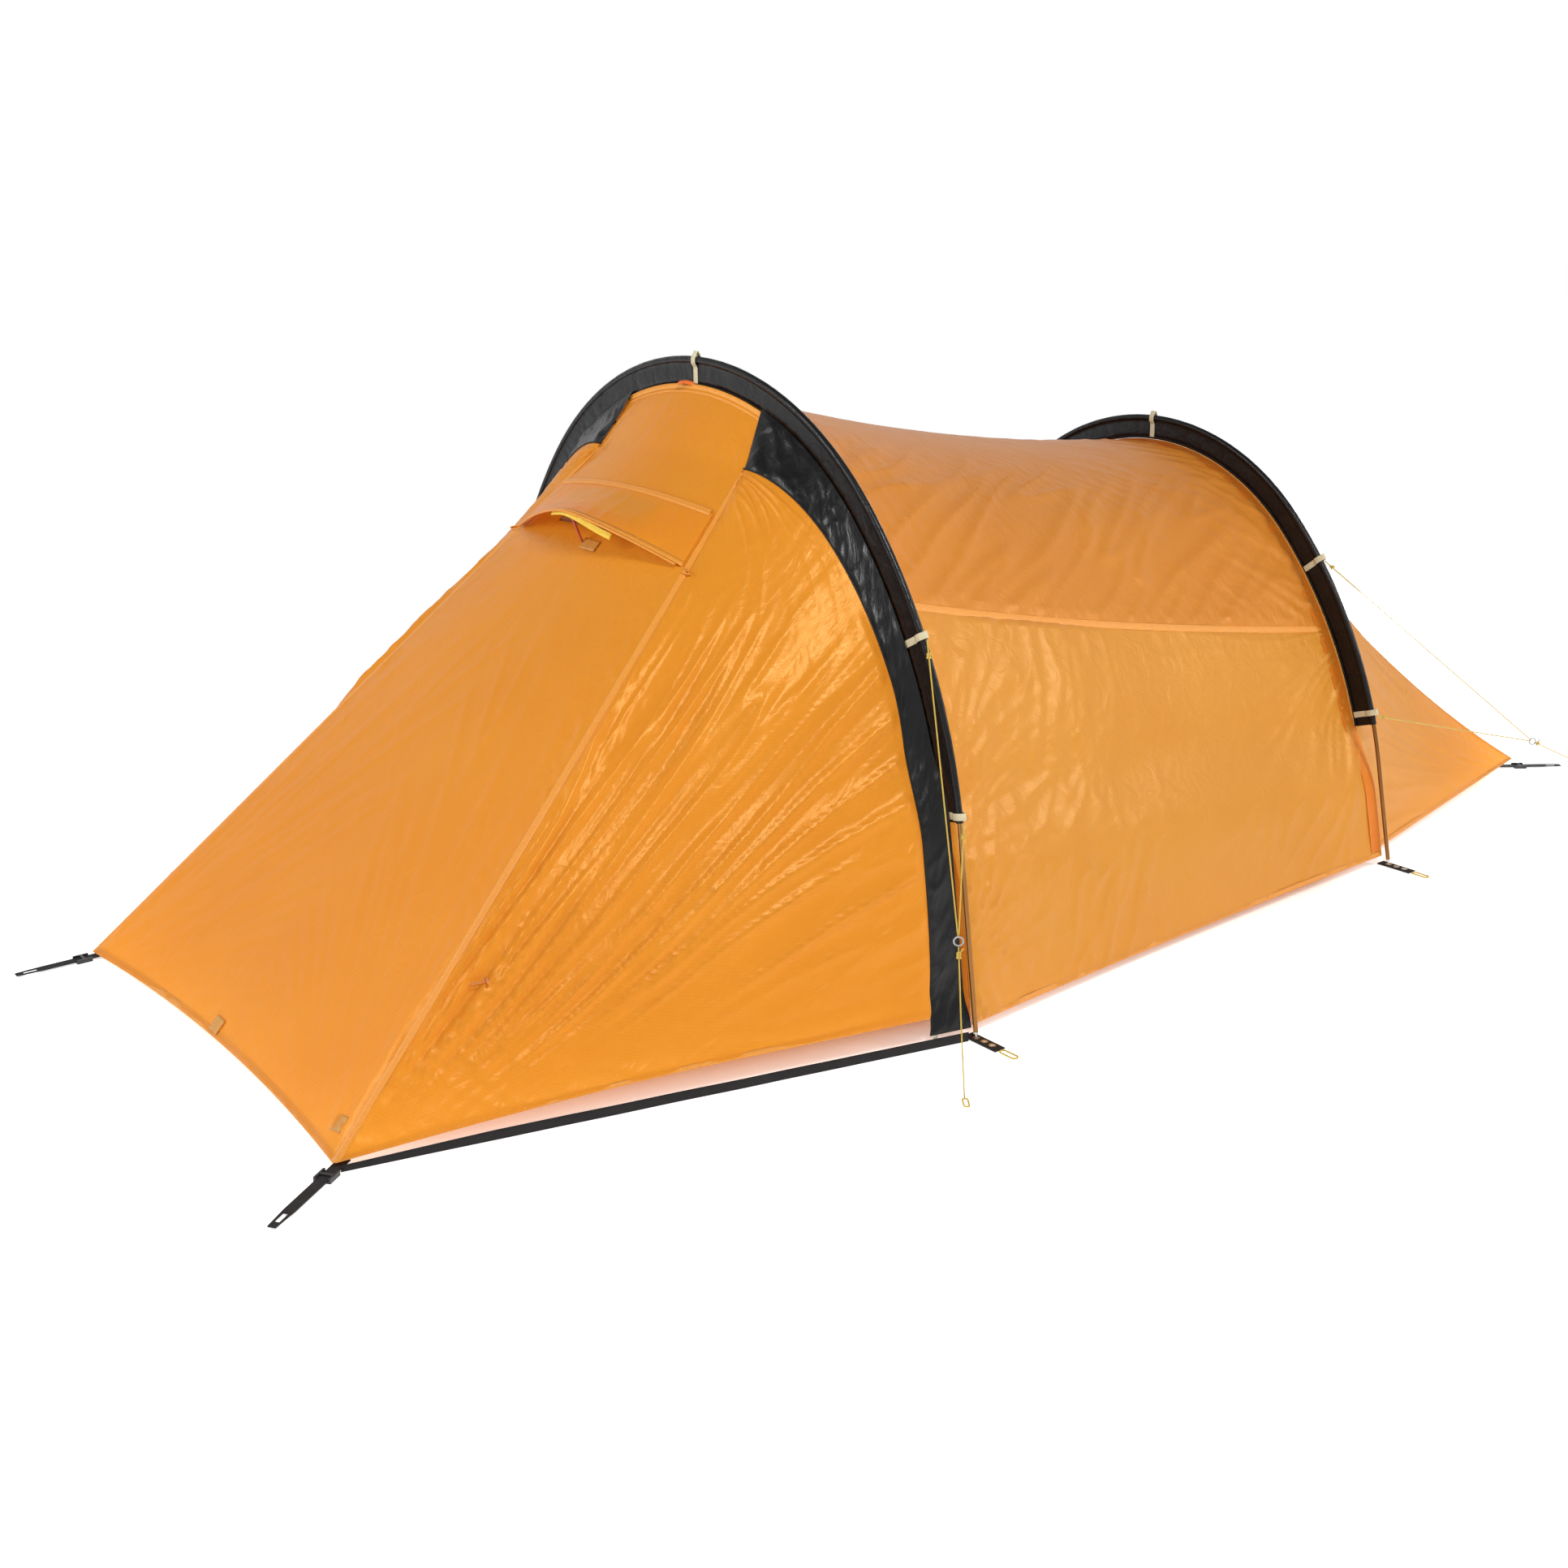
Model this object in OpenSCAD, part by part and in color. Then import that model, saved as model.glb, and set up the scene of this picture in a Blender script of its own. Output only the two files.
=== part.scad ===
// Two-hoop tunnel tent: a fly with a front vestibule and a low tail, hung on two curved poles.
// X runs along the tent with the vestibule at -X, Z is up, and the origin is the middle of
// the footprint on the ground. The near side is -Y and the far side is +Y.

/* [Footprint] */
// Distance between the two hoops
hoop_gap = 1366; // [1250:1:1450]
// Length of the vestibule, from the front hoop to its ground corners
vestibule_len = 1111; // [1050:1:1200]
// Length of the tail, from the rear hoop to its ground corners
tail_len = 913; // [850:1:1000]
// Half the distance between the two front ground corners
front_corner_y = 541; // [500:1:580]
// Half the distance between the two rear ground corners
rear_corner_y = 523; // [480:1:560]
// Reach of a front corner strap past its corner, along X
front_strap_reach = 150; // [130:1:170]
// Reach of a rear corner strap past its corner, along X
rear_strap_reach = 112; // [105:1:140]

/* [Front hoop] */
// Inward lean of the front hoop's legs, in degrees
front_lean = 8.5; // [7:0.5:10]
// Straight leg of the front hoop
front_leg = 375; // [350:1:400]
// Radius of the front hoop's shoulder
front_shoulder_r = 1045; // [1000:1:1100]
// Angle that the front hoop's shoulder turns through
front_shoulder_deg = 33; // [31:0.5:35]
// Radius of the front hoop's crown
front_crown_r = 695; // [680:1:720]

/* [Rear hoop] */
// Inward lean of the rear hoop's legs, in degrees
rear_lean = 12.7; // [11:0.1:14]
// Straight leg of the rear hoop
rear_leg = 235; // [220:1:260]
// Radius of the rear hoop's shoulder
rear_shoulder_r = 1110; // [1050:1:1150]
// Angle that the rear hoop's shoulder turns through
rear_shoulder_deg = 31; // [29:0.5:33]
// Radius of the rear hoop's crown
rear_crown_r = 595; // [580:1:620]

/* [Poles] */
// Outer diameter of a pole section
pole_d = 9; // [8.5:0.1:10]
// Wall thickness of a pole section
pole_wall = 0.7; // [0.6:0.05:0.8]
// Length of the ferrule that joins two pole sections
ferrule_len = 40; // [30:1:40]

/* [Fabric] */
// Thickness given to a fabric sheet
cloth_t = 2; // [1.6:0.1:2.4]
// Width of the flat sleeve band that hangs the fly from a pole
band_w = 50; // [40:1:55]
// Droop of the ridge between the hoops
ridge_sag = 40; // [20:1:50]
// Width of the storm flap at its narrowest, beside the shoulder of the hoop
flap_w = 33; // [30:1:45]

/* [Webbing and metal] */
// Width of the base strap and the foot webbing
webbing_w = 25; // [20:1:25]
// Radius of the hole through a foot eyelet
eyelet_r = 3.5; // [3.2:0.1:3.8]

/* [Hidden] */

$fn = 32;
// Facets of the long arcs along a hoop
hoop_fn = 240;

half_len = (front_strap_reach + vestibule_len + hoop_gap + tail_len + rear_strap_reach) / 2;
front_x = vestibule_len + front_strap_reach - half_len;
rear_x = front_x + hoop_gap;
front_corner_x = front_x - vestibule_len;
rear_corner_x = rear_x + tail_len;
front_corner_z = 14;
rear_corner_z = 24;

// A hoop is [lean, leg, shoulder radius, shoulder angle, crown radius, x of its plane]
front_hoop = [front_lean, front_leg, front_shoulder_r, front_shoulder_deg, front_crown_r, front_x];
rear_hoop = [rear_lean, rear_leg, rear_shoulder_r, rear_shoulder_deg, rear_crown_r, rear_x];
hoops = [front_hoop, rear_hoop];

pole_r = pole_d / 2;
pole_bore_r = pole_r - pole_wall;
// The straight ferrules sit in curved sections, so they have a little room
ferrule_r = pole_bore_r - 0.4;
ferrule_bore_r = ferrule_r - 0.6;
shock_cord_r = 1.25;
section_gap = 0.3;
// Each straight or round stretch of a hoop stops this far short of the next
stretch_gap = 0.1;
tip_plug_len = 12;
sleeve_bore_r = pole_r + 1.2;
sleeve_r = sleeve_bore_r + 1.2;
front_sleeve_start = 400;
rear_sleeve_start = 325;

// Room left between two sheets that meet at a seam, and at the plane of a hoop
seam_gap = 2.5;
hoop_plane_gap = 4;
edge_inset = band_w + 2;
hem_s = 24;

orange = [0.93, 0.56, 0.13];
black = [0.08, 0.08, 0.09];
gold = [0.72, 0.52, 0.28];
silver = [0.78, 0.78, 0.76];
yellow = [0.93, 0.82, 0.12];
red = [0.70, 0.12, 0.10];
mesh_grey = [0.25, 0.25, 0.27];

// ---------- general functions ----------
function lerp(a, b, t) = a + (b - a) * t;
function unit(v) = v / norm(v);
function clamp(i, top) = min(max(i, 0), top);
function bump(t) = 4 * t * (1 - t);

// ---------- the line of a hoop ----------
function hoop_leg_end(h) = h[1];
function hoop_shoulder_end(h) = h[1] + h[2] * h[3] * PI / 180;
function hoop_half(h) = hoop_shoulder_end(h) + h[4] * (90 - h[0] - h[3]) * PI / 180;
function hoop_len(h) = 2 * hoop_half(h);
function hoop_foot_y(h) =
    h[1] * sin(h[0]) + h[2] * (cos(h[0]) - cos(h[0] + h[3])) + h[4] * cos(h[0] + h[3]);
function hoop_shoulder_c(h) =
    [hoop_foot_y(h) - h[1] * sin(h[0]) - h[2] * cos(h[0]), h[1] * cos(h[0]) - h[2] * sin(h[0])];
function hoop_crown_c(h) =
    hoop_shoulder_c(h) + (h[2] - h[4]) * [cos(h[0] + h[3]), sin(h[0] + h[3])];

// Angle of the outward normal at length s along the far half, and the point there, moved
// inward by inset. Both are [y, z] values in the plane of the hoop.
function hoop_angle(h, s) =
    s <= hoop_leg_end(h) ? h[0]
    : s <= hoop_shoulder_end(h) ? h[0] + (s - h[1]) / h[2] * 180 / PI
    : h[0] + h[3] + (s - hoop_shoulder_end(h)) / h[4] * 180 / PI;
function hoop_half_yz(h, s, inset) =
    let (t = hoop_angle(h, s), n = [cos(t), sin(t)])
    s <= hoop_leg_end(h) ? [hoop_foot_y(h) - s * sin(t), s * cos(t)] - inset * n
    : s <= hoop_shoulder_end(h) ? hoop_shoulder_c(h) + (h[2] - inset) * n
    : hoop_crown_c(h) + (h[4] - inset) * n;
// s runs over the whole hoop, from the far foot to the near foot
function hoop_yz(h, s, inset) =
    s <= hoop_half(h) ? hoop_half_yz(h, s, inset)
    : let (p = hoop_half_yz(h, hoop_len(h) - s, inset)) [-p[0], p[1]];
function hoop_point(h, s, inset, dx = 0) =
    let (p = hoop_yz(h, s, inset)) [h[5] + dx, p[0], p[1]];

// ---------- a profile swept along a hoop ----------
// The child is a 2D profile: its x points out of the hoop and its y points along the tent.
module in_hoop_plane(h) {
    translate([h[5], 0, 0]) rotate([90, 0, 90]) children();
}

module hoop_arc(centre, radius, from_deg, to_deg) {
    translate([centre[0], centre[1], 0])
        rotate([0, 0, from_deg])
            rotate_extrude(angle = to_deg - from_deg, $fn = hoop_fn)
                translate([radius, 0]) children();
}

module hoop_side(h, s0, s1) {
    leg_0 = max(s0, 0);
    leg_1 = min(s1, hoop_leg_end(h) - stretch_gap);
    arc_0 = max(s0, hoop_leg_end(h) + stretch_gap);
    arc_1 = min(s1, hoop_shoulder_end(h) - stretch_gap);
    in_hoop_plane(h) {
        if (leg_1 > leg_0)
            translate([hoop_foot_y(h), 0, 0]) rotate([0, 0, h[0]]) translate([0, leg_1, 0])
                rotate([90, 0, 0]) linear_extrude(leg_1 - leg_0) children();
        if (arc_1 > arc_0)
            hoop_arc(hoop_shoulder_c(h), h[2], hoop_angle(h, arc_0), hoop_angle(h, arc_1))
                children();
    }
}

// Children drawn at length s with their Z along the hoop
module at_hoop(h, s) {
    far = s <= hoop_half(h);
    a = hoop_angle(h, far ? s : hoop_len(h) - s);
    mirror([0, far ? 0 : 1, 0])
        translate(hoop_point(h, far ? s : hoop_len(h) - s, 0)) rotate([a, 0, 0]) children();
}

module hoop_sweep(h, s0, s1) {
    full = hoop_len(h);
    crown_0 = max(s0, hoop_shoulder_end(h) + stretch_gap);
    crown_1 = min(s1, full - hoop_shoulder_end(h) - stretch_gap);
    hoop_side(h, s0, s1) children();
    mirror([0, 1, 0]) hoop_side(h, full - s1, full - s0) children();
    if (crown_1 > crown_0)
        in_hoop_plane(h)
            hoop_arc(hoop_crown_c(h), h[4], hoop_angle(h, crown_0), hoop_angle(h, crown_1))
                children();
}

// ---------- fabric sheets ----------
// A sheet is a grid of points given some thickness. keep(i, j) says which cells are there.
function grid_normal(p, i, j) =
    let (n = len(p) - 1, m = len(p[0]) - 1)
    unit(cross(
        p[clamp(i + 1, n)][j] - p[clamp(i - 1, n)][j],
        p[i][clamp(j + 1, m)] - p[i][clamp(j - 1, m)]
    ));

module sheet(p, t = cloth_t, keep = function(i, j) true) {
    n = len(p) - 1;
    m = len(p[0]) - 1;
    cols = m + 1;
    lower = (n + 1) * cols;
    there = function(i, j) i >= 0 && j >= 0 && i < n && j < m && keep(i, j);
    wall = function(a, b) [[a, b, b + lower], [a, b + lower, a + lower]];
    points = [
        for (side = [0.5, -0.5], i = [0:n], j = [0:m]) p[i][j] + side * t * grid_normal(p, i, j)
    ];
    faces = [
        for (i = [0:n - 1], j = [0:m - 1])
            if (there(i, j))
                let (
                    a = i * cols + j,
                    b = a + cols,
                    c = b + 1,
                    d = a + 1
                )
                each concat(
                    [[a, d, c], [a, c, b]],
                    [[a, b, c] + [lower, lower, lower], [a, c, d] + [lower, lower, lower]],
                    there(i, j - 1) ? [] : wall(a, b),
                    there(i, j + 1) ? [] : wall(c, d),
                    there(i - 1, j) ? [] : wall(d, a),
                    there(i + 1, j) ? [] : wall(b, c)
                )
    ];
    polyhedron(points, faces);
}

// ---------- cords ----------
// A straight-sided tube through a list of points
function tube_side(route, i) =
    let (
        along = unit(route[clamp(i + 1, len(route) - 1)] - route[clamp(i - 1, len(route) - 1)]),
        up = abs(along[2]) > 0.9 ? [1, 0, 0] : [0, 0, 1],
        u = unit(cross(along, up))
    )
    [u, cross(along, u)];

module cord_tube(route, d, sides = 8) {
    n = len(route);
    points = [
        for (i = [0:n - 1], k = [0:sides - 1])
            let (f = tube_side(route, i), a = k * 360 / sides)
            route[i] + d / 2 * (cos(a) * f[0] + sin(a) * f[1])
    ];
    skin = [
        for (i = [0:n - 2], k = [0:sides - 1])
            let (a = i * sides + k, b = i * sides + (k + 1) % sides)
            each [[a, b + sides, b], [a, a + sides, b + sides]]
    ];
    ends = [
        [for (k = [0:sides - 1]) k],
        [for (k = [sides - 1:-1:0]) (n - 1) * sides + k]
    ];
    polyhedron(points, concat(skin, ends));
}

// Children drawn from point a towards point b, along +X
module aim(a, b) {
    d = b - a;
    translate(a)
        rotate([0, -asin(d[2] / norm(d)), atan2(d[1], d[0])]) children();
}

// A closed loop of cord lying flat, from the origin along +X
module cord_loop(length, width, d) {
    r = (width - d) / 2;
    run = length - width;
    for (side = [-1, 1])
        translate([width / 2, side * r, 0]) rotate([0, 90, 0]) cylinder(h = run, d = d, $fn = 16);
    translate([width / 2, 0, 0]) rotate([0, 0, 90])
        rotate_extrude(angle = 180, $fn = 48) translate([r, 0]) circle(d = d, $fn = 16);
    translate([width / 2 + run, 0, 0]) rotate([0, 0, -90])
        rotate_extrude(angle = 180, $fn = 48) translate([r, 0]) circle(d = d, $fn = 16);
}

module tube_profile(outer, inner) {
    difference() {
        circle(r = outer);
        circle(r = inner);
    }
}

// ---------- poles ----------
function pole_breaks(h) =
    let (
        leg = hoop_leg_end(h),
        mid = (hoop_leg_end(h) + hoop_shoulder_end(h)) / 2,
        sh = hoop_shoulder_end(h),
        full = hoop_len(h),
        third = (full - 2 * sh) / 3
    )
    [0, leg, mid, sh, sh + third, sh + 2 * third, full - sh, full - mid, full - leg, full];

module pole(h) {
    s = pole_breaks(h);
    last = len(s) - 1;
    color(gold)
        for (k = [0:last - 1])
            hoop_sweep(
                h,
                s[k] + (k == 0 ? tip_plug_len + 3 : section_gap / 2),
                s[k + 1] - (k == last - 1 ? tip_plug_len + 3 : section_gap / 2)
            )
                tube_profile(pole_r, pole_bore_r);
}
module front_pole() pole(front_hoop);
module rear_pole() pole(rear_hoop);

module pole_ferrules(h) {
    s = pole_breaks(h);
    color(silver)
        for (k = [1:len(s) - 2])
            at_hoop(h, s[k])
                translate([0, 0, -ferrule_len / 2])
                    linear_extrude(ferrule_len) tube_profile(ferrule_r, ferrule_bore_r);
}
module front_pole_ferrules() pole_ferrules(front_hoop);
module rear_pole_ferrules() pole_ferrules(rear_hoop);

module shock_cord(h) {
    start = 2 * tip_plug_len + 6;
    rings = 60;
    color(black)
        cord_tube(
            [for (k = [0:rings]) hoop_point(h, lerp(start, hoop_len(h) - start, k / rings), 0)],
            2 * shock_cord_r
        );
}
module front_shock_cord() shock_cord(front_hoop);
module rear_shock_cord() shock_cord(rear_hoop);

// A plug in the tube, a flange it stands on and a nib that drops through the foot eyelet
module pole_tip() {
    translate([0, 0, tip_plug_len + 3.2]) cylinder(r = ferrule_r, h = tip_plug_len);
    translate([0, 0, tip_plug_len - 0.2]) cylinder(r = pole_r + 0.4, h = 3);
    translate([0, 0, 2.6]) cylinder(r = 2.2, h = tip_plug_len - 2);
    translate([0, 0, 2.6]) sphere(r = 2.2);
}
module pole_tips() {
    color(silver)
        for (h = hoops, side = [0, 1])
            mirror([0, side, 0])
                translate([h[5], hoop_foot_y(h), 0]) rotate([h[0], 0, 0]) pole_tip();
}

// ---------- sleeves and guy loops ----------
module sleeve_profile() {
    difference() {
        union() {
            circle(r = sleeve_r);
            translate([-band_w, -1]) square([band_w - sleeve_bore_r, 2]);
        }
        circle(r = sleeve_bore_r);
    }
}
module front_pole_sleeve() {
    color(black)
        hoop_sweep(front_hoop, front_sleeve_start, hoop_len(front_hoop) - front_sleeve_start)
            sleeve_profile();
}
module rear_pole_sleeve() {
    color(black)
        hoop_sweep(rear_hoop, rear_sleeve_start, hoop_len(rear_hoop) - rear_sleeve_start)
            sleeve_profile();
}

// Lengths along each hoop, from a foot, of its lower and middle loops
loop_w = 14;
loop_reach = 17;
front_loop_s = [405, 728];
rear_loop_s = [345, 712];

// The webbing is sewn to both faces of the band and stands out past the sleeve
module loop_profile() {
    clear = sleeve_r + 0.05;
    for (side = [0, 1]) mirror([0, side])
        polygon([
            [-band_w + 4, 1], [-12.8, 1], [-7.2, clear], [3.6, clear], [loop_reach - 1.8, 0],
            [loop_reach, 0], [4.2, clear + 1], [-7.8, clear + 1], [-13.4, 2], [-band_w + 4, 2]
        ]);
}
module guy_loop(h, s) {
    hoop_sweep(h, s, s + loop_w) loop_profile();
}
module guy_loops() {
    color(silver)
        for (k = [0, 1]) {
            h = hoops[k];
            for (s = [front_loop_s, rear_loop_s][k], side = [0, 1])
                mirror([0, side, 0]) guy_loop(h, s);
            guy_loop(h, hoop_half(h) - loop_w / 2);
        }
}

// ---------- fly between the hoops ----------
// The fly hangs inside the sleeve band, and comes out to just behind the bare legs below it
leg_inset = 13;
function smooth(t) = let (k = min(max(t, 0), 1)) k * k * (3 - 2 * k);
function fly_inset(h, s) =
    let (from_foot = min(s, hoop_len(h) - s))
    lerp(leg_inset, edge_inset, smooth((from_foot - h[1] * 0.7) / 200));
// f runs along the hoops from the far foot to the near foot, t from the front to the rear
function fly_point(t, f) =
    let (
        droop = lerp(12, ridge_sag, sin(180 * f)) * bump(t),
        sa = f * hoop_len(front_hoop),
        sb = f * hoop_len(rear_hoop),
        a = hoop_point(front_hoop, sa, fly_inset(front_hoop, sa) + droop, hoop_plane_gap),
        b = hoop_point(rear_hoop, sb, fly_inset(rear_hoop, sb) + droop, -hoop_plane_gap)
    )
    lerp(a, b, t);
// The long side seam rises slightly towards the front
function side_seam_f(t) = lerp(0.262, 0.215, t);
function hem_f(t) = hem_s / lerp(hoop_len(front_hoop), hoop_len(rear_hoop), t);
fly_cols = 12;

module fly_roof() {
    color(orange)
        sheet([
            for (i = [0:fly_cols])
                let (t = i / fly_cols, f0 = side_seam_f(t) + 0.001)
                [for (j = [0:16]) fly_point(t, lerp(f0, 1 - f0, j / 16))]
        ]);
}
module fly_far_side() {
    color(orange)
        sheet([
            for (i = [0:fly_cols])
                let (t = i / fly_cols)
                [for (j = [0:8]) fly_point(t, lerp(hem_f(t), side_seam_f(t) - 0.001, j / 8))]
        ]);
}
module fly_near_side() mirror([0, 1, 0]) fly_far_side();

// ---------- ends of the fly ----------
// The vestibule's seam on the far side: from the sleeve down to the top of the door, then
// straight to the ground corner
front_top_y = 222;
front_top = [
    front_x - hoop_plane_gap, front_top_y,
    hoop_crown_c(front_hoop)[1] + sqrt(pow(front_crown_r - edge_inset, 2) - pow(front_top_y, 2))
];
door_top = [front_x - 72, 245, 956];
front_corner = [front_corner_x, front_corner_y, front_corner_z];
rear_top_y = 205;
rear_top = [
    rear_x + hoop_plane_gap, rear_top_y,
    hoop_crown_c(rear_hoop)[1] + sqrt(pow(rear_crown_r - edge_inset, 2) - pow(rear_top_y, 2))
];
rear_corner = [rear_corner_x, rear_corner_y, rear_corner_z];
tail_sag = 65;
// Share of the front seam that lies above the door
door_top_u = norm(door_top - front_top) / (norm(door_top - front_top) + norm(front_corner - door_top));

function front_seam(u) =
    u < door_top_u ? lerp(front_top, door_top, u / door_top_u)
    : lerp(door_top, front_corner, (u - door_top_u) / (1 - door_top_u));
function rear_seam(u) = lerp(rear_top, rear_corner, u) - [0, 0, tail_sag * bump(u)];

// A point of the panel between the two seams of one end. w runs from -1, near, to 1, far.
// The panel is arched like the hoop at its top and flat at the ground.
function end_panel_point(p, w, out, arch) =
    let (y = p[1] - seam_gap) [p[0], w * y, p[2]] + (1 - w * w) * arch * out;
front_arch = front_crown_r - edge_inset - sqrt(pow(front_crown_r - edge_inset, 2) - pow(front_top_y, 2));
rear_arch = rear_crown_r - edge_inset - sqrt(pow(rear_crown_r - edge_inset, 2) - pow(rear_top_y, 2));
front_out = unit([-0.67, 0, 0.74]);
rear_out = unit([0.67, 0, 0.74]);
function front_out_at(u) = unit(lerp([0, 0, 1], front_out, min(1, u / door_top_u)));
function front_panel_point(u, w, lift = 0) =
    end_panel_point(front_seam(u), w, front_out_at(u), front_arch * pow(1 - u, 1.3))
    + front_out_at(u) * lift;
function rear_panel_point(u, w) =
    end_panel_point(
        rear_seam(u), w, unit(lerp([0, 0, 1], rear_out, min(1, u * 8))), rear_arch * pow(1 - u, 1.3)
    );

// The hood covers a mesh window between these shares of the front seam
hood_top_u = door_top_u + 0.074 * (1 - door_top_u);
hood_brim_u = door_top_u + 0.161 * (1 - door_top_u);
// Rows of the vestibule panel, with a row on each edge of the window
vest_rows = concat(
    [0.004, door_top_u / 2, door_top_u, (door_top_u + hood_top_u) / 2, hood_top_u + 0.012],
    [(hood_top_u + hood_brim_u) / 2, hood_brim_u - 0.012, hood_brim_u + 0.04],
    [for (k = [1:7]) lerp(hood_brim_u + 0.04, 1, k / 7)]
);
window_row = 4;
window_rows = 2;
vest_cols = 12;
window_margin = 3;

// The front hem curves in and up a little between its corners
function hem_curve(u, w) = pow(u, 8) * (1 - w * w) * [30, 0, 4];

module vestibule_panel() {
    color(orange)
        sheet(
            [
                for (u = vest_rows)
                    [for (j = [0:vest_cols])
                        let (w = 1 - 2 * j / vest_cols)
                        front_panel_point(u, w) + hem_curve(u, w)]
            ],
            keep = function(i, j)
                i < window_row || i >= window_row + window_rows
                || j < window_margin || j >= vest_cols - window_margin
        );
}

// ---------- vestibule sides: doors and storm flaps ----------
// v runs from the seam at 0 to the sleeve at 1, u from the door's top to the ground
door_rows = 14;
door_hem_lift = 34;
// Below the sleeve the storm flap comes out towards the pole, and touches it at its foot
flap_leg_inset = 18;
flap_foot_inset = 4;
function flap_inset(s) =
    lerp(flap_leg_inset, edge_inset, smooth((s - front_sleeve_start + 40) / 200))
    - (flap_leg_inset - flap_foot_inset) * (1 - smooth((s - hem_s) / 70));
function side_seam_point(u) = lerp(door_top, front_corner, u);
function side_hoop_point(u) =
    let (s_top = hoop_half(front_hoop) - asin(front_top_y / front_crown_r) * PI / 180 * front_crown_r)
    let (s = lerp(s_top, hem_s, u))
    hoop_point(front_hoop, s, flap_inset(s), -hoop_plane_gap - 2);
function side_len(u) = norm(side_hoop_point(u) - side_seam_point(u));
// The point at a distance from the seam, or from the sleeve
function side_point(u, v, lift = 0) =
    lerp(side_seam_point(u), side_hoop_point(u), v)
    + [0, 0, lift * pow(u, 14) * sin(90 * min(1, 1.6 * v))];
// The flap is wide at the top, narrow at the shoulder, and wider again down the leg
flap_more_top = 85;
flap_more_leg = 22;
flap_more_foot = 30;
function flap_width(u) =
    flap_w + flap_more_top * pow(1 - u, 5) + flap_more_leg * smooth((u - 0.5) / 0.25)
    + flap_more_foot * pow(u, 14);
function flap_edge_v(u) = 1 - flap_width(u) / side_len(u);

module far_door() {
    color(orange)
        sheet([
            for (i = [0:door_rows])
                let (u = lerp(0.04, 1, i / door_rows), l = side_len(u))
                [for (j = [0:8])
                    side_point(
                        u, lerp(seam_gap * 1.6 / l, max(flap_edge_v(u), 14 / l), j / 8), door_hem_lift
                    )]
        ]);
}
module near_door() mirror([0, 1, 0]) far_door();

module far_storm_flap() {
    color(black)
        sheet([
            for (i = [0:door_rows])
                let (u = lerp(0.05, 1, i / door_rows), l = side_len(u))
                [for (j = [0:3])
                    side_point(u, lerp(max(flap_edge_v(u), 14 / l) + 1 / l, 1 - 3 / l, j / 3))]
        ]);
}
module near_storm_flap() mirror([0, 1, 0]) far_storm_flap();

module far_flap_tab() {
    foot = side_point(1, flap_edge_v(1) + 0.01);
    color(silver) translate(foot + [0, 0, -10.5]) cube([10, 1, 18], center = true);
}
module near_flap_tab() mirror([0, 1, 0]) far_flap_tab();

// The zip lies under the flap. Its lower run, beside the straight leg, is straight.
zip_d = 4;
zip_depth = 16;
zip_side = 26;
zip_low_u = 0.975;
zip_leg_u = 0.73;
function zip_point(u) =
    let (
        v = 1 - zip_side / side_len(u),
        p = lerp(side_seam_point(u), side_hoop_point(u), v),
        across = side_hoop_point(u) - side_seam_point(u),
        down = side_point(min(u + 0.01, 1), v) - side_point(u - 0.01, v)
    )
    p + unit(cross(across, down)) * -zip_depth;
zip_bottom = zip_point(zip_low_u);
zip_bend = zip_point(zip_leg_u);
zip_slider_at = 30;

module far_door_zip() {
    color(black) {
        aim(zip_bottom, zip_bend) rotate([0, 90, 0])
            cylinder(d = zip_d, h = norm(zip_bend - zip_bottom) - 0.2);
        cord_tube([for (k = [0:12]) zip_point(lerp(zip_leg_u - 0.004, 0.06, k / 12))], zip_d);
    }
}
module near_door_zip() mirror([0, 1, 0]) far_door_zip();

slider_len = 14;
slider_h = 9;
module at_zip_slider() {
    aim(zip_bottom, zip_bend) translate([zip_slider_at, 0, 0]) children();
}
module far_zip_slider() {
    color(silver)
        at_zip_slider()
            difference() {
                translate([0, -6, -slider_h / 2]) cube([slider_len, 12, slider_h]);
                translate([-1, 0, 0]) rotate([0, 90, 0]) cylinder(r = zip_d / 2 + 0.08, h = slider_len + 2);
            }
}
module near_zip_slider() mirror([0, 1, 0]) far_zip_slider();

module far_zip_pull() {
    color(yellow)
        at_zip_slider() translate([slider_len / 2, 0, -slider_h / 2 - 2]) {
            rotate([90, 0, 0]) cylinder(r = 1.2, h = 8, center = true);
            translate([-28, -3, -0.8]) cube([28, 6, 1.6]);
        }
}
module near_zip_pull() mirror([0, 1, 0]) far_zip_pull();

// A toggle on a short loop beside each seam, which holds the door when it is rolled back
toggle_u = 0.785;
toggle_len = 26;
module far_door_toggle() {
    at = side_point(toggle_u, 0.06);
    near_it = [
        for (u = [-1:1])
            [for (v = [0, 1]) side_point(toggle_u + u / 50, 0.05 + v / 50)]
    ];
    out = -grid_normal(near_it, 1, 0);
    color(orange)
        aim(at + out * 11, side_point(toggle_u, 0.16) + out * 11) {
            cord_loop(toggle_len, 8, 2);
            translate([toggle_len + 4, 0, 0]) rotate([90, 0, 0]) cylinder(d = 5, h = 18, center = true);
        }
}
module near_door_toggle() mirror([0, 1, 0]) far_door_toggle();

// ---------- vent ----------
hood_rise = 72;
hood_gap = 5;
hood_rows = 6;
hood_cols = 12;
// k runs from the hood's top seam at 0 to its brim at 1
function hood_point(k, w, below = 0) =
    let (u = lerp(hood_top_u, hood_brim_u, k))
    front_panel_point(u, w * 0.97, hood_gap - below + (1 - w * w) * hood_rise * pow(k, 1.4));

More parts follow.
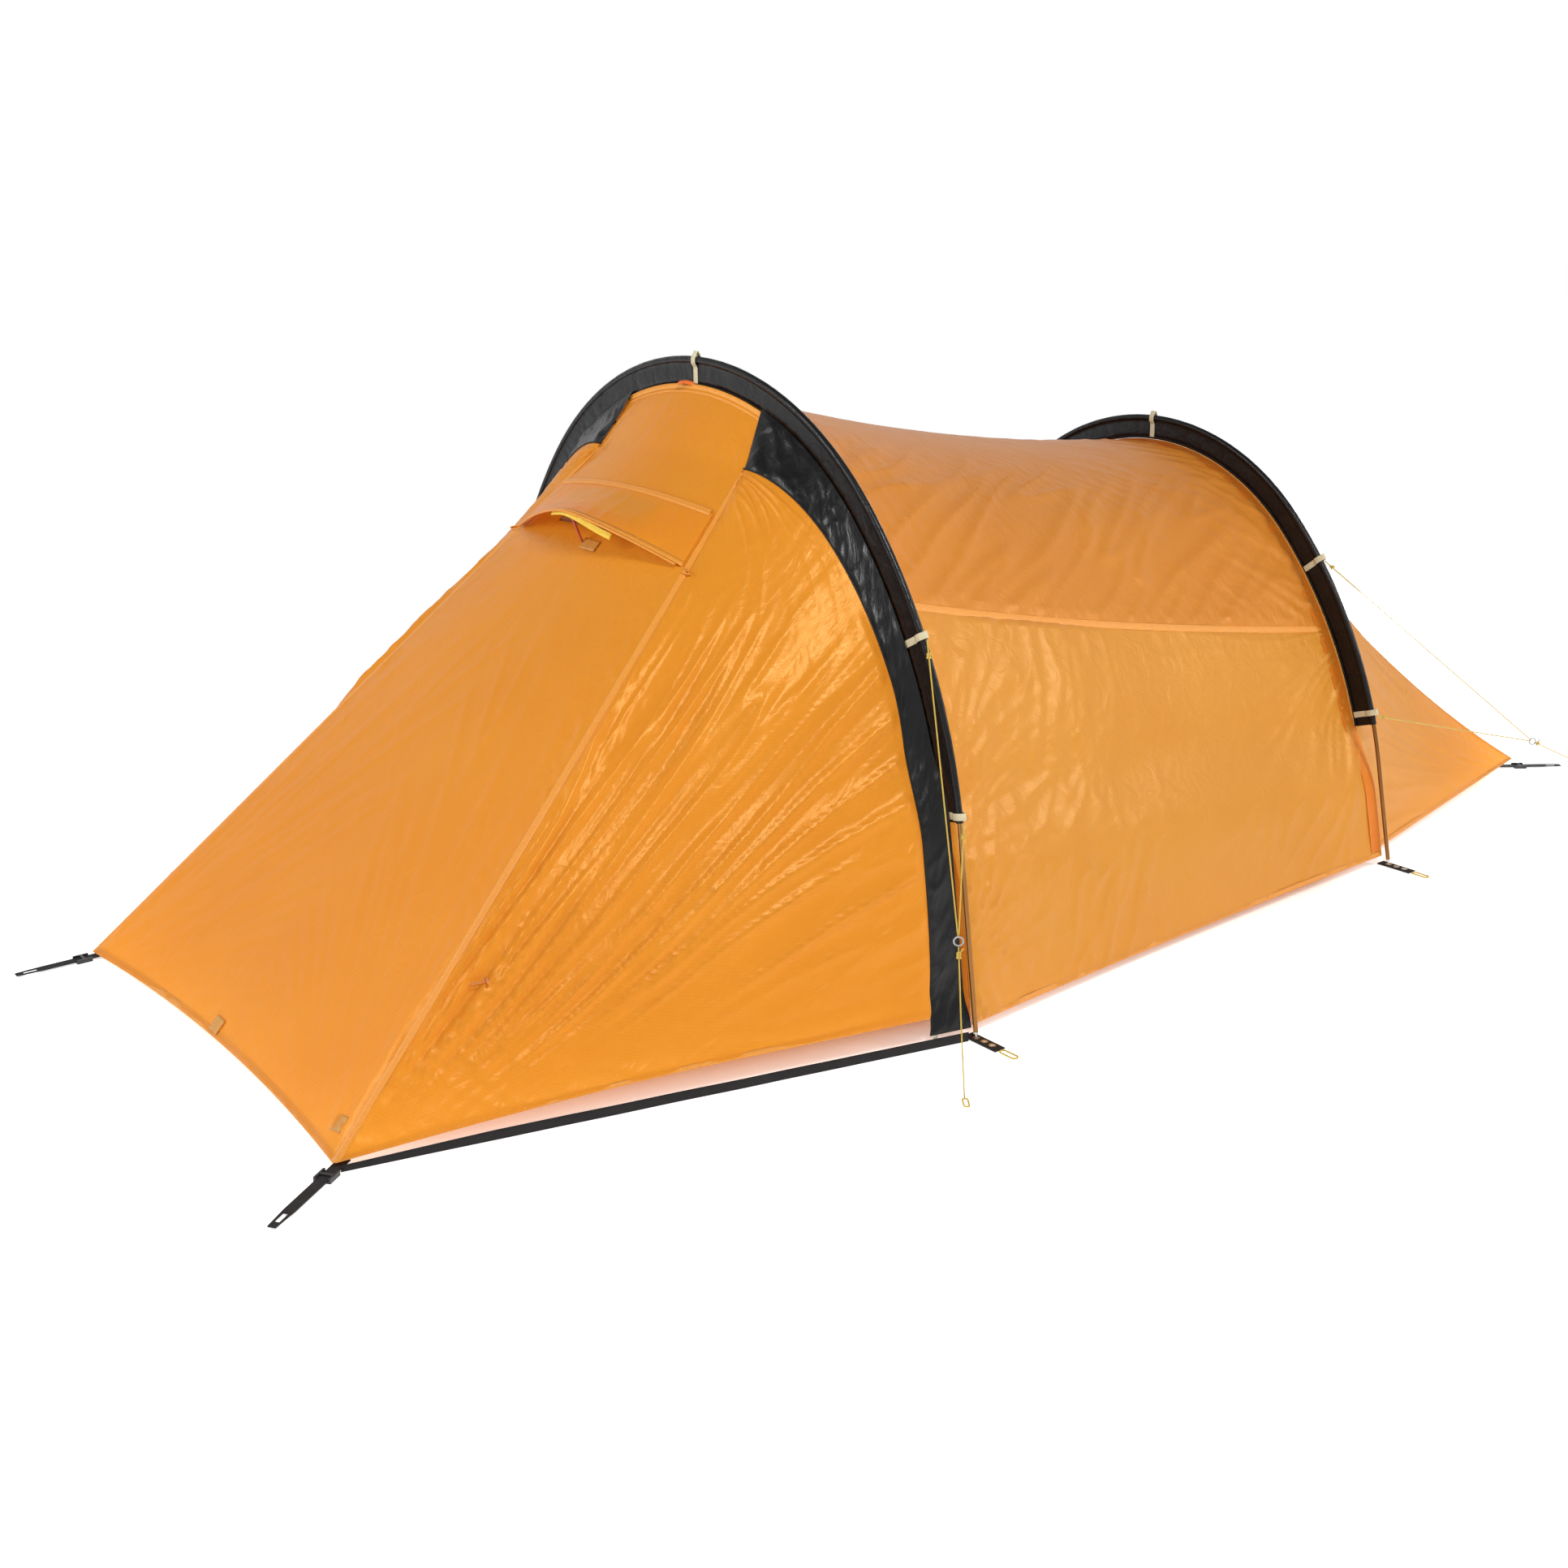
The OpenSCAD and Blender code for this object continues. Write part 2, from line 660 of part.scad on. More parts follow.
module vent_hood() {
    color(orange)
        sheet([
            for (i = [0:hood_rows])
                [for (j = [0:hood_cols]) hood_point(i / hood_rows, 1 - 2 * j / hood_cols)]
        ]);
}
module vent_brim_wire() {
    color(orange)
        cord_tube([
            for (j = [0:24])
                let (w = 0.98 - 1.96 * j / 24) hood_point(1, w) + unit([-0.74, 0, -0.67]) * 3.5
        ], 4);
}
module vent_lining() {
    color(yellow)
        sheet([
            for (i = [0:2])
                [for (j = [0:8]) hood_point(lerp(0.72, 0.98, i / 2), 0.62 - 1.24 * j / 8, 3.5)]
        ]);
}
module vent_mesh() {
    color(mesh_grey)
        sheet([
            for (k = [0.06, 0.5, 0.94])
                [for (j = [0:8])
                    front_panel_point(
                        lerp(hood_top_u + 0.012, hood_brim_u - 0.012, k), 0.49 - 0.98 * j / 8
                    )]
        ], t = 1);
}
// The strut stands on the panel just under the window and holds the brim up
strut_foot = front_panel_point(hood_brim_u + 0.012, 0, 3);
strut_head = hood_point(0.97, 0, 6);
strut_d = 5;
module vent_strut() {
    color(red)
        aim(strut_foot, strut_head)
            rotate([0, 90, 0]) cylinder(d = strut_d, h = norm(strut_head - strut_foot));
}

// ---------- tail ----------
module tail_panel() {
    color(orange)
        sheet([
            for (i = [0:10])
                [for (j = [0:8]) rear_panel_point(lerp(0.004, 1, i / 10), -1 + j / 4)]
        ]);
}
function tail_hoop_point(u) =
    let (s_top = hoop_half(rear_hoop) - asin(rear_top_y / rear_crown_r) * PI / 180 * rear_crown_r)
    hoop_point(rear_hoop, lerp(s_top, hem_s, u), edge_inset, hoop_plane_gap + 2);
module tail_far_side() {
    color(orange)
        sheet([
            for (i = [0:10])
                let (
                    u = lerp(0.07, 1, i / 10),
                    a = rear_seam(u),
                    b = tail_hoop_point(u),
                    l = norm(b - a)
                )
                [for (j = [0:6]) lerp(a, b, lerp(1 - 1 / l, seam_gap * 1.6 / l, j / 6))]
        ]);
}
module tail_near_side() mirror([0, 1, 0]) tail_far_side();

// ---------- webbing on the ground ----------
strap_t = 2;
base_strap_h = 18;
foot_y = hoop_foot_y(front_hoop);
module base_straps() {
    a = [front_corner_x + 24, front_corner_y + 12, 0];
    b = [front_x - 16, foot_y - 4, 0];
    length = norm(b - a);
    // Drawn tight, the webbing stands on its edge, and it is lower where it runs under the corner
    color(black)
        for (side = [0, 1]) mirror([0, side, 0])
            aim(a, b) translate([0, strap_t / 2, 0]) rotate([90, 0, 0])
                linear_extrude(strap_t)
                    polygon([[0, 0], [length, 0], [length, base_strap_h], [250, base_strap_h], [0, 11]]);
}

// Webbing under each foot: the pole stands in the first eyelet and the rest are spare
foot_tab_in = 22;
foot_tab_len = 82;
eyelet_pitch = 20;
eyelet_count = 3;
eyelet_rim = 2.2;
module foot_tab() {
    difference() {
        translate([-webbing_w / 2, -foot_tab_in, 1]) cube([webbing_w, foot_tab_len, strap_t]);
        for (k = [0:eyelet_count - 1])
            translate([0, k * eyelet_pitch, 0]) cylinder(r = eyelet_r + 1, h = 10);
    }
}
module at_feet() {
    for (h = hoops, side = [0, 1])
        mirror([0, side, 0]) translate([h[5], hoop_foot_y(h), 0]) children();
}
module foot_webbing() color(black) at_feet() foot_tab();
module foot_eyelets() {
    color(silver)
        at_feet()
            for (k = [0:eyelet_count - 1])
                translate([0, k * eyelet_pitch, 0])
                    difference() {
                        union() {
                            cylinder(r = eyelet_r + 1, h = 4);
                            cylinder(r = eyelet_r + eyelet_rim + 1, h = 1);
                            translate([0, 0, 3]) cylinder(r = eyelet_r + eyelet_rim + 1, h = 1);
                        }
                        translate([0, 0, -1]) cylinder(r = eyelet_r, h = 6);
                    }
}
peg_loop_len = 42;
peg_loop_d = 3;
module foot_peg_loops() {
    color(yellow)
        at_feet()
            translate([0, foot_tab_len - foot_tab_in + 0.5, peg_loop_d / 2])
                rotate([0, 0, 90]) cord_loop(peg_loop_len, 16, peg_loop_d);
}

// ---------- corner buckles and straps ----------
buckle_len = 30;
buckle_w = 30;
buckle_h = 8;
strap_w = 20;
strap_z = 3;
strap_room = 0.4;
buckle_start = 6;
strap_tail = 34;
peg_slot_w = 9;

// Angle of each strap, measured outward from the tent's long axis
near_front_angle = 34;
far_front_angle = 0;
rear_angle = 36;
// Children drawn at a corner with +X pointing out along its strap. front is -1 and rear 1.
module at_corner(end, side, angle) {
    x = end < 0 ? front_corner_x : rear_corner_x;
    y = end < 0 ? front_corner_y : rear_corner_y;
    translate([x, side * y, 0])
        rotate([0, 0, end < 0 ? 180 + (-side) * angle : side * angle]) children();
}

module buckle() {
    rail = (buckle_w - strap_w) / 2 - 1;
    for (side = [-1, 1])
        translate([buckle_start, side > 0 ? strap_w / 2 + 1 : -buckle_w / 2, 0])
            cube([buckle_len, rail, buckle_h]);
    for (x = [0, buckle_len - 4])
        translate([buckle_start + x, -buckle_w / 2, 0])
            cube([4, buckle_w, strap_z - strap_room]);
    translate([buckle_start + buckle_len / 2 - 3, -buckle_w / 2, strap_z + strap_t + strap_room])
        cube([6, buckle_w, buckle_h - strap_z - strap_t - strap_room]);
}
// The strap's far end narrows to a loop with a slot for a peg
module corner_strap(length) {
    nose = 14;
    translate([0, 0, strap_z])
        linear_extrude(strap_t)
            difference() {
                polygon([
                    [-strap_tail, -strap_w / 2],
                    [length - 50, -strap_w / 2],
                    [length, -nose / 2],
                    [length, nose / 2],
                    [length - 50, strap_w / 2],
                    [-strap_tail, strap_w / 2]
                ]);
                translate([length - 40, -peg_slot_w / 2]) square([26, peg_slot_w]);
            }
}
module corner_buckles() {
    color(black) {
        at_corner(-1, -1, near_front_angle) buckle();
        at_corner(-1, 1, far_front_angle) buckle();
        at_corner(1, -1, rear_angle) buckle();
        at_corner(1, 1, rear_angle) buckle();
    }
}
// Length along the strap that brings its nose to the end of the footprint
function strap_len(reach, angle) = (reach - 7 * sin(angle)) / cos(angle);
module near_front_strap() {
    color(black) at_corner(-1, -1, near_front_angle)
        corner_strap(strap_len(front_strap_reach, near_front_angle));
}
module far_front_strap() {
    color(black) at_corner(-1, 1, far_front_angle)
        corner_strap(strap_len(front_strap_reach, far_front_angle));
}
module near_rear_strap() {
    color(black) at_corner(1, -1, rear_angle) corner_strap(strap_len(rear_strap_reach, rear_angle));
}
module far_rear_strap() {
    color(black) at_corner(1, 1, rear_angle) corner_strap(strap_len(rear_strap_reach, rear_angle));
}

// ---------- inner tent ----------
inner_inset = 112;
inner_front_x = front_x + 60;
inner_tail_x = rear_x + 560;
tub_h = 100;
tub_t = 2;
tail_arch_y = 430;
tail_arch_z = 225;
floor_front_y = hoop_foot_y(front_hoop) - inner_inset - 14;
floor_rear_y = hoop_foot_y(rear_hoop) - inner_inset - 20;
floor_y = [[inner_front_x, floor_front_y], [rear_x, floor_rear_y], [inner_tail_x, tail_arch_y]];

// One side of the groundsheet's outline, its ends and its edge moved inward by inset
function floor_side(inset) = [
    for (k = [0:2]) floor_y[k] + [k == 0 ? inset : k == 2 ? -inset : 0, -inset]
];
function floor_outline(inset) = concat(
    floor_side(inset),
    [for (k = [2:-1:0]) [floor_side(inset)[k][0], -floor_side(inset)[k][1]]]
);
module inner_floor() {
    color(red)
        difference() {
            linear_extrude(tub_h) polygon(floor_outline(0));
            translate([0, 0, tub_t]) linear_extrude(tub_h) polygon(floor_outline(tub_t));
        }
}

// Length along a hoop at which its inset line reaches the top of the floor's wall
function inner_s0(h) = (tub_h + 2 + inner_inset * sin(h[0])) / cos(h[0]);
// f runs from the far edge of the floor over the top to the near edge
function inner_arch(h, f) =
    hoop_yz(h, lerp(inner_s0(h), hoop_len(h) - inner_s0(h), f), inner_inset);
function tail_arch(f) =
    [tail_arch_y * cos(180 * f), tub_h + 2 + (tail_arch_z - tub_h - 2) * sin(180 * f)];
function inner_point(x, f) =
    let (
        a = inner_arch(front_hoop, f),
        b = inner_arch(rear_hoop, f),
        p = x <= rear_x
            ? lerp(a, b, (x - front_x) / hoop_gap)
            : lerp(b, tail_arch(f), (x - rear_x) / (inner_tail_x - rear_x))
    )
    [x, p[0], p[1]];
inner_xs = [
    inner_front_x + 3, front_x + 300, front_x + 600, front_x + 900, front_x + 1150,
    rear_x, rear_x + 200, rear_x + 380, inner_tail_x - 3
];
module inner_canopy() {
    color([0.93, 0.72, 0.35])
        sheet([for (x = inner_xs) [for (j = [0:18]) inner_point(x, j / 18)]]);
}

function wall_outline(x) = [for (j = [0:24]) let (p = inner_point(x, j / 24)) [p[1], p[2]]];
// The inner door is hung at its near edge
door_hinge_y = -430;
door_free_y = 400;
door_sill_z = 130;
door_side_z = 520;
door_rise = 230;
door_gap = 4;
function door_outline(grow) = concat(
    [[door_hinge_y - grow, door_sill_z - grow], [door_free_y + grow, door_sill_z - grow]],
    [for (k = [0:16])
        let (mid = (door_hinge_y + door_free_y) / 2, half = (door_free_y - door_hinge_y) / 2 + grow)
        [mid + half * cos(180 * k / 16), door_side_z + (door_rise + grow) * sin(180 * k / 16)]]
);
module in_cross_plane(x, t) {
    translate([x, 0, 0]) rotate([90, 0, 90]) linear_extrude(t) children();
}
module inner_front_wall() {
    color([0.93, 0.72, 0.35])
        in_cross_plane(inner_front_x, tub_t)
            difference() {
                polygon(wall_outline(inner_front_x));
                polygon(door_outline(door_gap));
            }
}
module inner_rear_wall() {
    color([0.93, 0.72, 0.35])
        in_cross_plane(inner_tail_x - tub_t, tub_t) polygon(wall_outline(inner_tail_x));
}
module inner_door() {
    color(mesh_grey) in_cross_plane(inner_front_x, tub_t) polygon(door_outline(0));
}

// Short elastics that hang the inner from the hoops
module inner_hangers() {
    color(black)
        for (h = hoops, f = [0.2, 0.35, 0.5, 0.65, 0.8]) {
            s = f * hoop_len(h);
            a = hoop_point(h, s, inner_inset - 3);
            b = hoop_point(h, s, band_w + 1);
            aim(a, b) rotate([0, 90, 0]) cylinder(d = 3, h = norm(b - a), $fn = 16);
        }
}

// ---------- guylines on the near side ----------
guyline_d = 3;
front_guy_ring_at = [-670, -880, 235];
rear_guy_ring_at = [1545, -665, 135];
front_guy_route = [[-674, -885, 224], [-710, -933, 114], [-745, -982, 5]];
rear_guy_route = [[1556, -666, 130], [1700, -673, 69], [1850, -680, 5]];

module guyline(h, s, ring_at) {
    top = hoop_point(h, hoop_len(h) - s + 3, -loop_reach + 6);
    end = ring_at + unit(top - ring_at) * 12.5;
    color(yellow) cord_tube([top, lerp(top, ring_at, 0.5), end], guyline_d);
}
// Each ring hangs across the corner of the tent
ring_turn = -40;
module guy_ring(at) {
    color(silver)
        translate(at)
            rotate([90, 0, ring_turn])
                rotate_extrude(angle = 360, $fn = 48) translate([8, 0]) circle(d = 3, $fn = 16);
}
module front_upper_guyline() guyline(front_hoop, front_loop_s[1], front_guy_ring_at);
module front_lower_guyline() guyline(front_hoop, front_loop_s[0], front_guy_ring_at);
module rear_upper_guyline() guyline(rear_hoop, rear_loop_s[1], rear_guy_ring_at);
module rear_lower_guyline() guyline(rear_hoop, rear_loop_s[0], rear_guy_ring_at);
module front_guy_tail() color(yellow) cord_tube(front_guy_route, guyline_d);
module rear_guy_tail() color(yellow) cord_tube(rear_guy_route, guyline_d);
// The loop that takes the peg, at the ground end of each guyline
module guy_peg_loops() {
    color(yellow)
        for (route = [front_guy_route, rear_guy_route]) {
            end = route[2];
            run = end - route[0];
            translate(end) rotate([0, 0, atan2(run[1], run[0])])
                translate([2, 0, 0]) cord_loop(32, 12, guyline_d);
        }
}
module front_guy_ring() guy_ring(front_guy_ring_at);
module rear_guy_ring() guy_ring(rear_guy_ring_at);

front_pole();
rear_pole();
front_pole_ferrules();
rear_pole_ferrules();
front_shock_cord();
rear_shock_cord();
pole_tips();
front_pole_sleeve();
rear_pole_sleeve();
guy_loops();
fly_roof();
fly_near_side();
fly_far_side();
vestibule_panel();
near_door();
far_door();
near_storm_flap();
far_storm_flap();
near_flap_tab();
far_flap_tab();
near_door_zip();
far_door_zip();
near_zip_slider();
far_zip_slider();
near_zip_pull();
far_zip_pull();
near_door_toggle();
far_door_toggle();
vent_hood();
vent_brim_wire();
vent_lining();
vent_strut();
vent_mesh();
tail_panel();
tail_near_side();
tail_far_side();
base_straps();
foot_webbing();
foot_eyelets();
foot_peg_loops();
corner_buckles();
near_front_strap();
far_front_strap();
near_rear_strap();
far_rear_strap();
inner_floor();
inner_canopy();
inner_front_wall();
inner_rear_wall();
inner_door();
inner_hangers();
front_upper_guyline();
front_lower_guyline();
front_guy_tail();
front_guy_ring();
rear_upper_guyline();
rear_lower_guyline();
rear_guy_tail();
rear_guy_ring();
guy_peg_loops();
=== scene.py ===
"""Visual model of a tunnel tent on two hoop poles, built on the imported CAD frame. Metres."""
import math

import bpy
import numpy as np
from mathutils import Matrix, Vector, noise


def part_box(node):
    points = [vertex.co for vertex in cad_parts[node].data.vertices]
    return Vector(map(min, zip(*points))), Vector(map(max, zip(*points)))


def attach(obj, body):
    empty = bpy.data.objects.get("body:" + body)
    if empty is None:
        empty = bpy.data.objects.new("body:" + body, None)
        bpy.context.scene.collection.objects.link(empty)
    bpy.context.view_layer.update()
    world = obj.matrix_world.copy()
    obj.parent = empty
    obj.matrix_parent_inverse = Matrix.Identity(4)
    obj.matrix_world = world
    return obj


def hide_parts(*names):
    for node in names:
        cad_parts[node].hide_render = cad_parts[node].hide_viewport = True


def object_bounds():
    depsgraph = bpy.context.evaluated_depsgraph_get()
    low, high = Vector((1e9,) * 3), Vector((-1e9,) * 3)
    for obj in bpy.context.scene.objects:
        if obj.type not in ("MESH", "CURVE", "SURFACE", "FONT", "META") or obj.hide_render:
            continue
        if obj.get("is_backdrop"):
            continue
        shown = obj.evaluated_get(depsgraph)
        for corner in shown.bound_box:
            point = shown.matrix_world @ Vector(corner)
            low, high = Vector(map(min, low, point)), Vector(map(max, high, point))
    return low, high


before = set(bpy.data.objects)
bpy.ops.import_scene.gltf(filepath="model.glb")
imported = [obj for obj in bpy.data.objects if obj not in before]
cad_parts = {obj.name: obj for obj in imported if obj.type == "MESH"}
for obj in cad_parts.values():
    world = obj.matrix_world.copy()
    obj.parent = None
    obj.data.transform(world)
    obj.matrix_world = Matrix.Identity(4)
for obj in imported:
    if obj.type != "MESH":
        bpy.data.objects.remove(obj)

cad_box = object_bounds()
# Y runs to the far side, away from the camera
NEAR = -1
FAR = 1
SIDES = ((FAR, "far"), (NEAR, "near"))
SEAM_HALF = 0.007
# Points inside the tent, or above it, that tell which side of a sheet faces out
INSIDE_FLY = (0.1, 0, 0.2)
INSIDE_VESTIBULE = (-0.9, 0, 0.1)
INSIDE_TAIL = (0.9, 0, 0.0)
INSIDE_INNER = (0.4, 0, 0.1)
ABOVE = (0.4, 0, 5.0)

# ---------- camera and view ----------
camera_data = bpy.data.cameras.new("camera")
camera_data.sensor_width = 36
camera_data.lens = 42.15
camera = bpy.data.objects.new("camera", camera_data)
camera.location = (-2.716, -2.958, 1.441)
looks_down = 0.30846
turned_right = 0.67546
camera.rotation_euler = (math.pi / 2 - looks_down, 0, -turned_right)
bpy.context.scene.collection.objects.link(camera)
bpy.context.scene.camera = camera
bpy.context.scene.view_settings.view_transform = "Standard"


# ---------- materials ----------
def node_adder(tree):
    """A function that adds a node to a tree, with its inputs linked or set."""
    def add(kind, inputs=None, **settings):
        made = tree.nodes.new(kind)
        for key, value in settings.items():
            setattr(made, key, value)
        for key, value in (inputs or {}).items():
            socket = made.inputs[key]
            if isinstance(value, bpy.types.NodeSocket):
                tree.links.new(value, socket)
            else:
                socket.default_value = value
        return made
    return add


def new_material(name):
    """A function that adds nodes to a new material, and one that ends it with a shader."""
    material = bpy.data.materials.new(name)
    material.use_nodes = True
    tree = material.node_tree
    tree.nodes.clear()
    output = tree.nodes.new("ShaderNodeOutputMaterial")

    def finish(shader):
        tree.links.new(shader.outputs[0], output.inputs[0])
        return material
    return node_adder(tree), finish


def math_node(add, operation, a, b=0.0, c=0.5):
    return add("ShaderNodeMath", {0: a, 1: b, 2: c}, operation=operation).outputs[0]


def noise_node(add, vector, scale, detail, distortion=0.0):
    return add("ShaderNodeTexNoise", {
        "Vector": vector, "Scale": scale, "Detail": detail, "Distortion": distortion,
    }).outputs["Fac"]


def bump_node(add, height, strength, distance, below=None):
    """below is the bumpy surface that these bumps lie on."""
    inputs = {"Height": height, "Strength": strength, "Distance": distance}
    if below:
        inputs["Normal"] = below
    return add("ShaderNodeBump", inputs).outputs[0]


def colour_mix(add, factor, a, b):
    return add("ShaderNodeMix", {0: factor, 6: a, 7: b}, data_type="RGBA").outputs[2]


def darker(colour, share):
    return (*[c * share for c in colour[:3]], 1)


def stripes(add, coordinate, pitch, width):
    """1 on a line of the given width at every pitch along a coordinate, and 0 between."""
    turn = math_node(add, "FRACT", math_node(add, "DIVIDE", coordinate, pitch))
    return math_node(add, "LESS_THAN", turn, width / pitch)


def weave(add, vector, pitch):
    """A fine over-and-under pattern of threads, from 0 to 1."""
    split = add("ShaderNodeSeparateXYZ", {0: vector})
    k = math.pi / pitch
    across = math_node(add, "SINE", math_node(add, "MULTIPLY", split.outputs[0], k))
    along = math_node(add, "SINE", math_node(add, "MULTIPLY", split.outputs[1], k))
    both = math_node(add, "MULTIPLY", across, along)
    return math_node(add, "MULTIPLY_ADD", both, 0.5)


WHITE = (1, 1, 1, 1)
SATIN = (1, 0.64, 0.28, 1)


def cloth_shader(add, finish, base, bumps, roughness, shine, through, tint=WHITE):
    """The coated face of a cloth, with a share of the light coming through it from behind."""
    shader = add("ShaderNodeBsdfPrincipled", {
        "Base Color": base, "Roughness": roughness, "Normal": bumps, "Specular IOR Level": shine,
        "Specular Tint": tint,
    })
    if through:
        back = add("ShaderNodeBsdfTranslucent", {"Color": base, "Normal": bumps})
        shader = add("ShaderNodeMixShader", {0: through, 1: shader.outputs[0], 2: back.outputs[0]})
    return finish(shader)


def fly_cloth(name, colour, deep, through, bump=0.5, shine=0.7, tint=SATIN):
    """Coated ripstop: a square grid of heavier threads, small creases, and light showing through."""
    grid_pitch = 0.006
    thread_width = 0.0007
    add, finish = new_material(name)
    uv = add("ShaderNodeTexCoord").outputs["UV"]
    split = add("ShaderNodeSeparateXYZ", {0: uv})
    grid = math_node(
        add, "MAXIMUM",
        stripes(add, split.outputs[0], grid_pitch, thread_width),
        stripes(add, split.outputs[1], grid_pitch, thread_width),
    )
    crumple = noise_node(add, uv, 19.0, 4.0, 1.4)
    tone = colour_mix(add, noise_node(add, uv, 3.2, 3.0), colour, deep)
    base = colour_mix(add, math_node(add, "MULTIPLY", grid, 0.16), tone, darker(deep, 0.55))
    rough = add("ShaderNodeMapRange", {"Value": crumple, "To Min": 0.26, "To Max": 0.40}).outputs[0]
    bumps = bump_node(add, crumple, bump, 0.004)
    bumps = bump_node(add, noise_node(add, uv, 140.0, 2.0), 0.12, 0.0006, bumps)
    bumps = bump_node(add, grid, 0.25, 0.0002, bumps)
    return cloth_shader(add, finish, base, bumps, rough, shine, through, tint)


def sewn_cloth(name, colour, thread, edge, roughness=0.45, through=0.0, shine=0.5):
    """A folded seam or binding with two rows of stitches. Its U runs along it and V across it."""
    add, finish = new_material(name)
    uv = add("ShaderNodeTexCoord").outputs["UV"]
    split = add("ShaderNodeSeparateXYZ", {0: uv})
    across = math_node(add, "ABSOLUTE", split.outputs[1])
    from_row = math_node(add, "ABSOLUTE", math_node(add, "SUBTRACT", across, edge))
    dash = stripes(add, split.outputs[0], 0.0034, 0.0024)
    stitch = math_node(add, "MULTIPLY", math_node(add, "LESS_THAN", from_row, 0.0005), dash)
    pucker = noise_node(add, uv, 160.0, 3.0, 0.6)
    shade = colour_mix(add, pucker, colour, darker(colour, 0.84))
    base = colour_mix(add, stitch, shade, thread)
    bumps = bump_node(add, pucker, 0.6, 0.0012)
    bumps = bump_node(add, stitch, 0.9, 0.0005, bumps)
    return cloth_shader(add, finish, base, bumps, roughness, shine, through)


def webbing(name, colour, light, source="UV", roughness=0.75):
    """Woven tape: slanting ribs, worn a little paler here and there."""
    pitch = 0.0016
    add, finish = new_material(name)
    place = add("ShaderNodeTexCoord").outputs[source]
    ribs = add("ShaderNodeTexWave", {
        "Vector": place, "Scale": 1 / (pitch * 6.3), "Distortion": 0.4, "Detail": 1.0,
    }, wave_type="BANDS", bands_direction="DIAGONAL").outputs["Fac"]
    height = math_node(add, "ADD", ribs, weave(add, place, pitch / 2))
    worn = math_node(add, "SUBTRACT", noise_node(add, place, 26.0, 5.0), 0.42)
    wear = add("ShaderNodeClamp", {0: math_node(add, "MULTIPLY", worn, 1.1)}).outputs[0]
    tone = colour_mix(add, wear, colour, light)
    base = colour_mix(add, math_node(add, "MULTIPLY", ribs, 0.35), tone, light)
    return finish(add("ShaderNodeBsdfPrincipled", {
        "Base Color": base, "Roughness": roughness, "Specular IOR Level": 0.3,
        "Normal": bump_node(add, height, 0.7, 0.0004),
    }))


def braid(name, colour, dark, source="UV"):
    """Braided cord: crossing diagonal strands with a dark fleck."""
    k = math.pi / 0.0026
    add, finish = new_material(name)
    place = add("ShaderNodeTexCoord").outputs[source]
    split = add("ShaderNodeSeparateXYZ", {0: place})
    waves = []
    for operation in ("ADD", "SUBTRACT"):
        slant = math_node(add, operation, split.outputs[0], split.outputs[1])
        waves.append(math_node(add, "SINE", math_node(add, "MULTIPLY", slant, k)))
    strands = math_node(add, "ABSOLUTE", math_node(add, "MULTIPLY", waves[0], waves[1]))
    flecks = math_node(add, "GREATER_THAN", noise_node(add, place, 300.0, 2.0), 0.62)
    tone = colour_mix(add, strands, dark, colour)
    base = colour_mix(add, math_node(add, "MULTIPLY", flecks, 0.3), tone, dark)
    return finish(add("ShaderNodeBsdfPrincipled", {
        "Base Color": base, "Roughness": 0.7, "Sheen Weight": 0.15,
        "Normal": bump_node(add, strands, 0.8, 0.0004),
    }))


def hard(name, colour, worn, metallic, roughness, grain=400.0, coat=0.0, stretch=(1, 1, 1)):
    """Metal or moulded plastic, with a fine grain, smudges and slightly paler worn places."""
    add, finish = new_material(name)
    place = add("ShaderNodeTexCoord").outputs["Object"]
    vector = add("ShaderNodeMapping", {0: place, "Scale": stretch}).outputs[0]
    smudge = noise_node(add, vector, 40.0, 4.0)
    rub = add("ShaderNodeMapRange", {"Value": smudge, "From Min": 0.52, "From Max": 0.75}).outputs[0]
    rough = add("ShaderNodeMapRange", {
        "Value": smudge, "To Min": roughness * 0.7, "To Max": roughness * 1.3,
    }).outputs[0]
    return finish(add("ShaderNodeBsdfPrincipled", {
        "Base Color": colour_mix(add, rub, colour, worn), "Roughness": rough,
        "Metallic": metallic, "Coat Weight": coat,
        "Normal": bump_node(add, noise_node(add, vector, grain, 3.0), 0.25, 0.0002),
    }))


def net(name, colour):
    """Fine insect netting: threads in a grid with air between them."""
    hole = 0.0016
    thread_width = hole * 0.34
    add, finish = new_material(name)
    uv = add("ShaderNodeTexCoord").outputs["UV"]
    split = add("ShaderNodeSeparateXYZ", {0: uv})
    thread = math_node(
        add, "MAXIMUM",
        stripes(add, split.outputs[0], hole, thread_width),
        stripes(add, split.outputs[1], hole, thread_width),
    )
    base = colour_mix(add, noise_node(add, uv, 12.0, 3.0), colour, darker(colour, 0.6))
    face = add("ShaderNodeBsdfPrincipled", {"Base Color": base, "Roughness": 0.7})
    clear = add("ShaderNodeBsdfTransparent")
    return finish(add("ShaderNodeMixShader", {0: thread, 1: clear.outputs[0], 2: face.outputs[0]}))


ORANGE = (0.88, 0.375, 0.034, 1)
ORANGE_DEEP = (0.82, 0.31, 0.024, 1)
# The sides' copy of the fly colours is paler and yellower: painted light on the lit sides of the same
# cloth.
BODY_LIT = (0.82, 0.385, 0.052, 1)
BODY_LIT_DEEP = (0.76, 0.32, 0.038, 1)
SEAM = (0.84, 0.33, 0.034, 1)
BLACK = (0.005, 0.005, 0.0055, 1)
YELLOW = (0.80, 0.58, 0.06, 1)

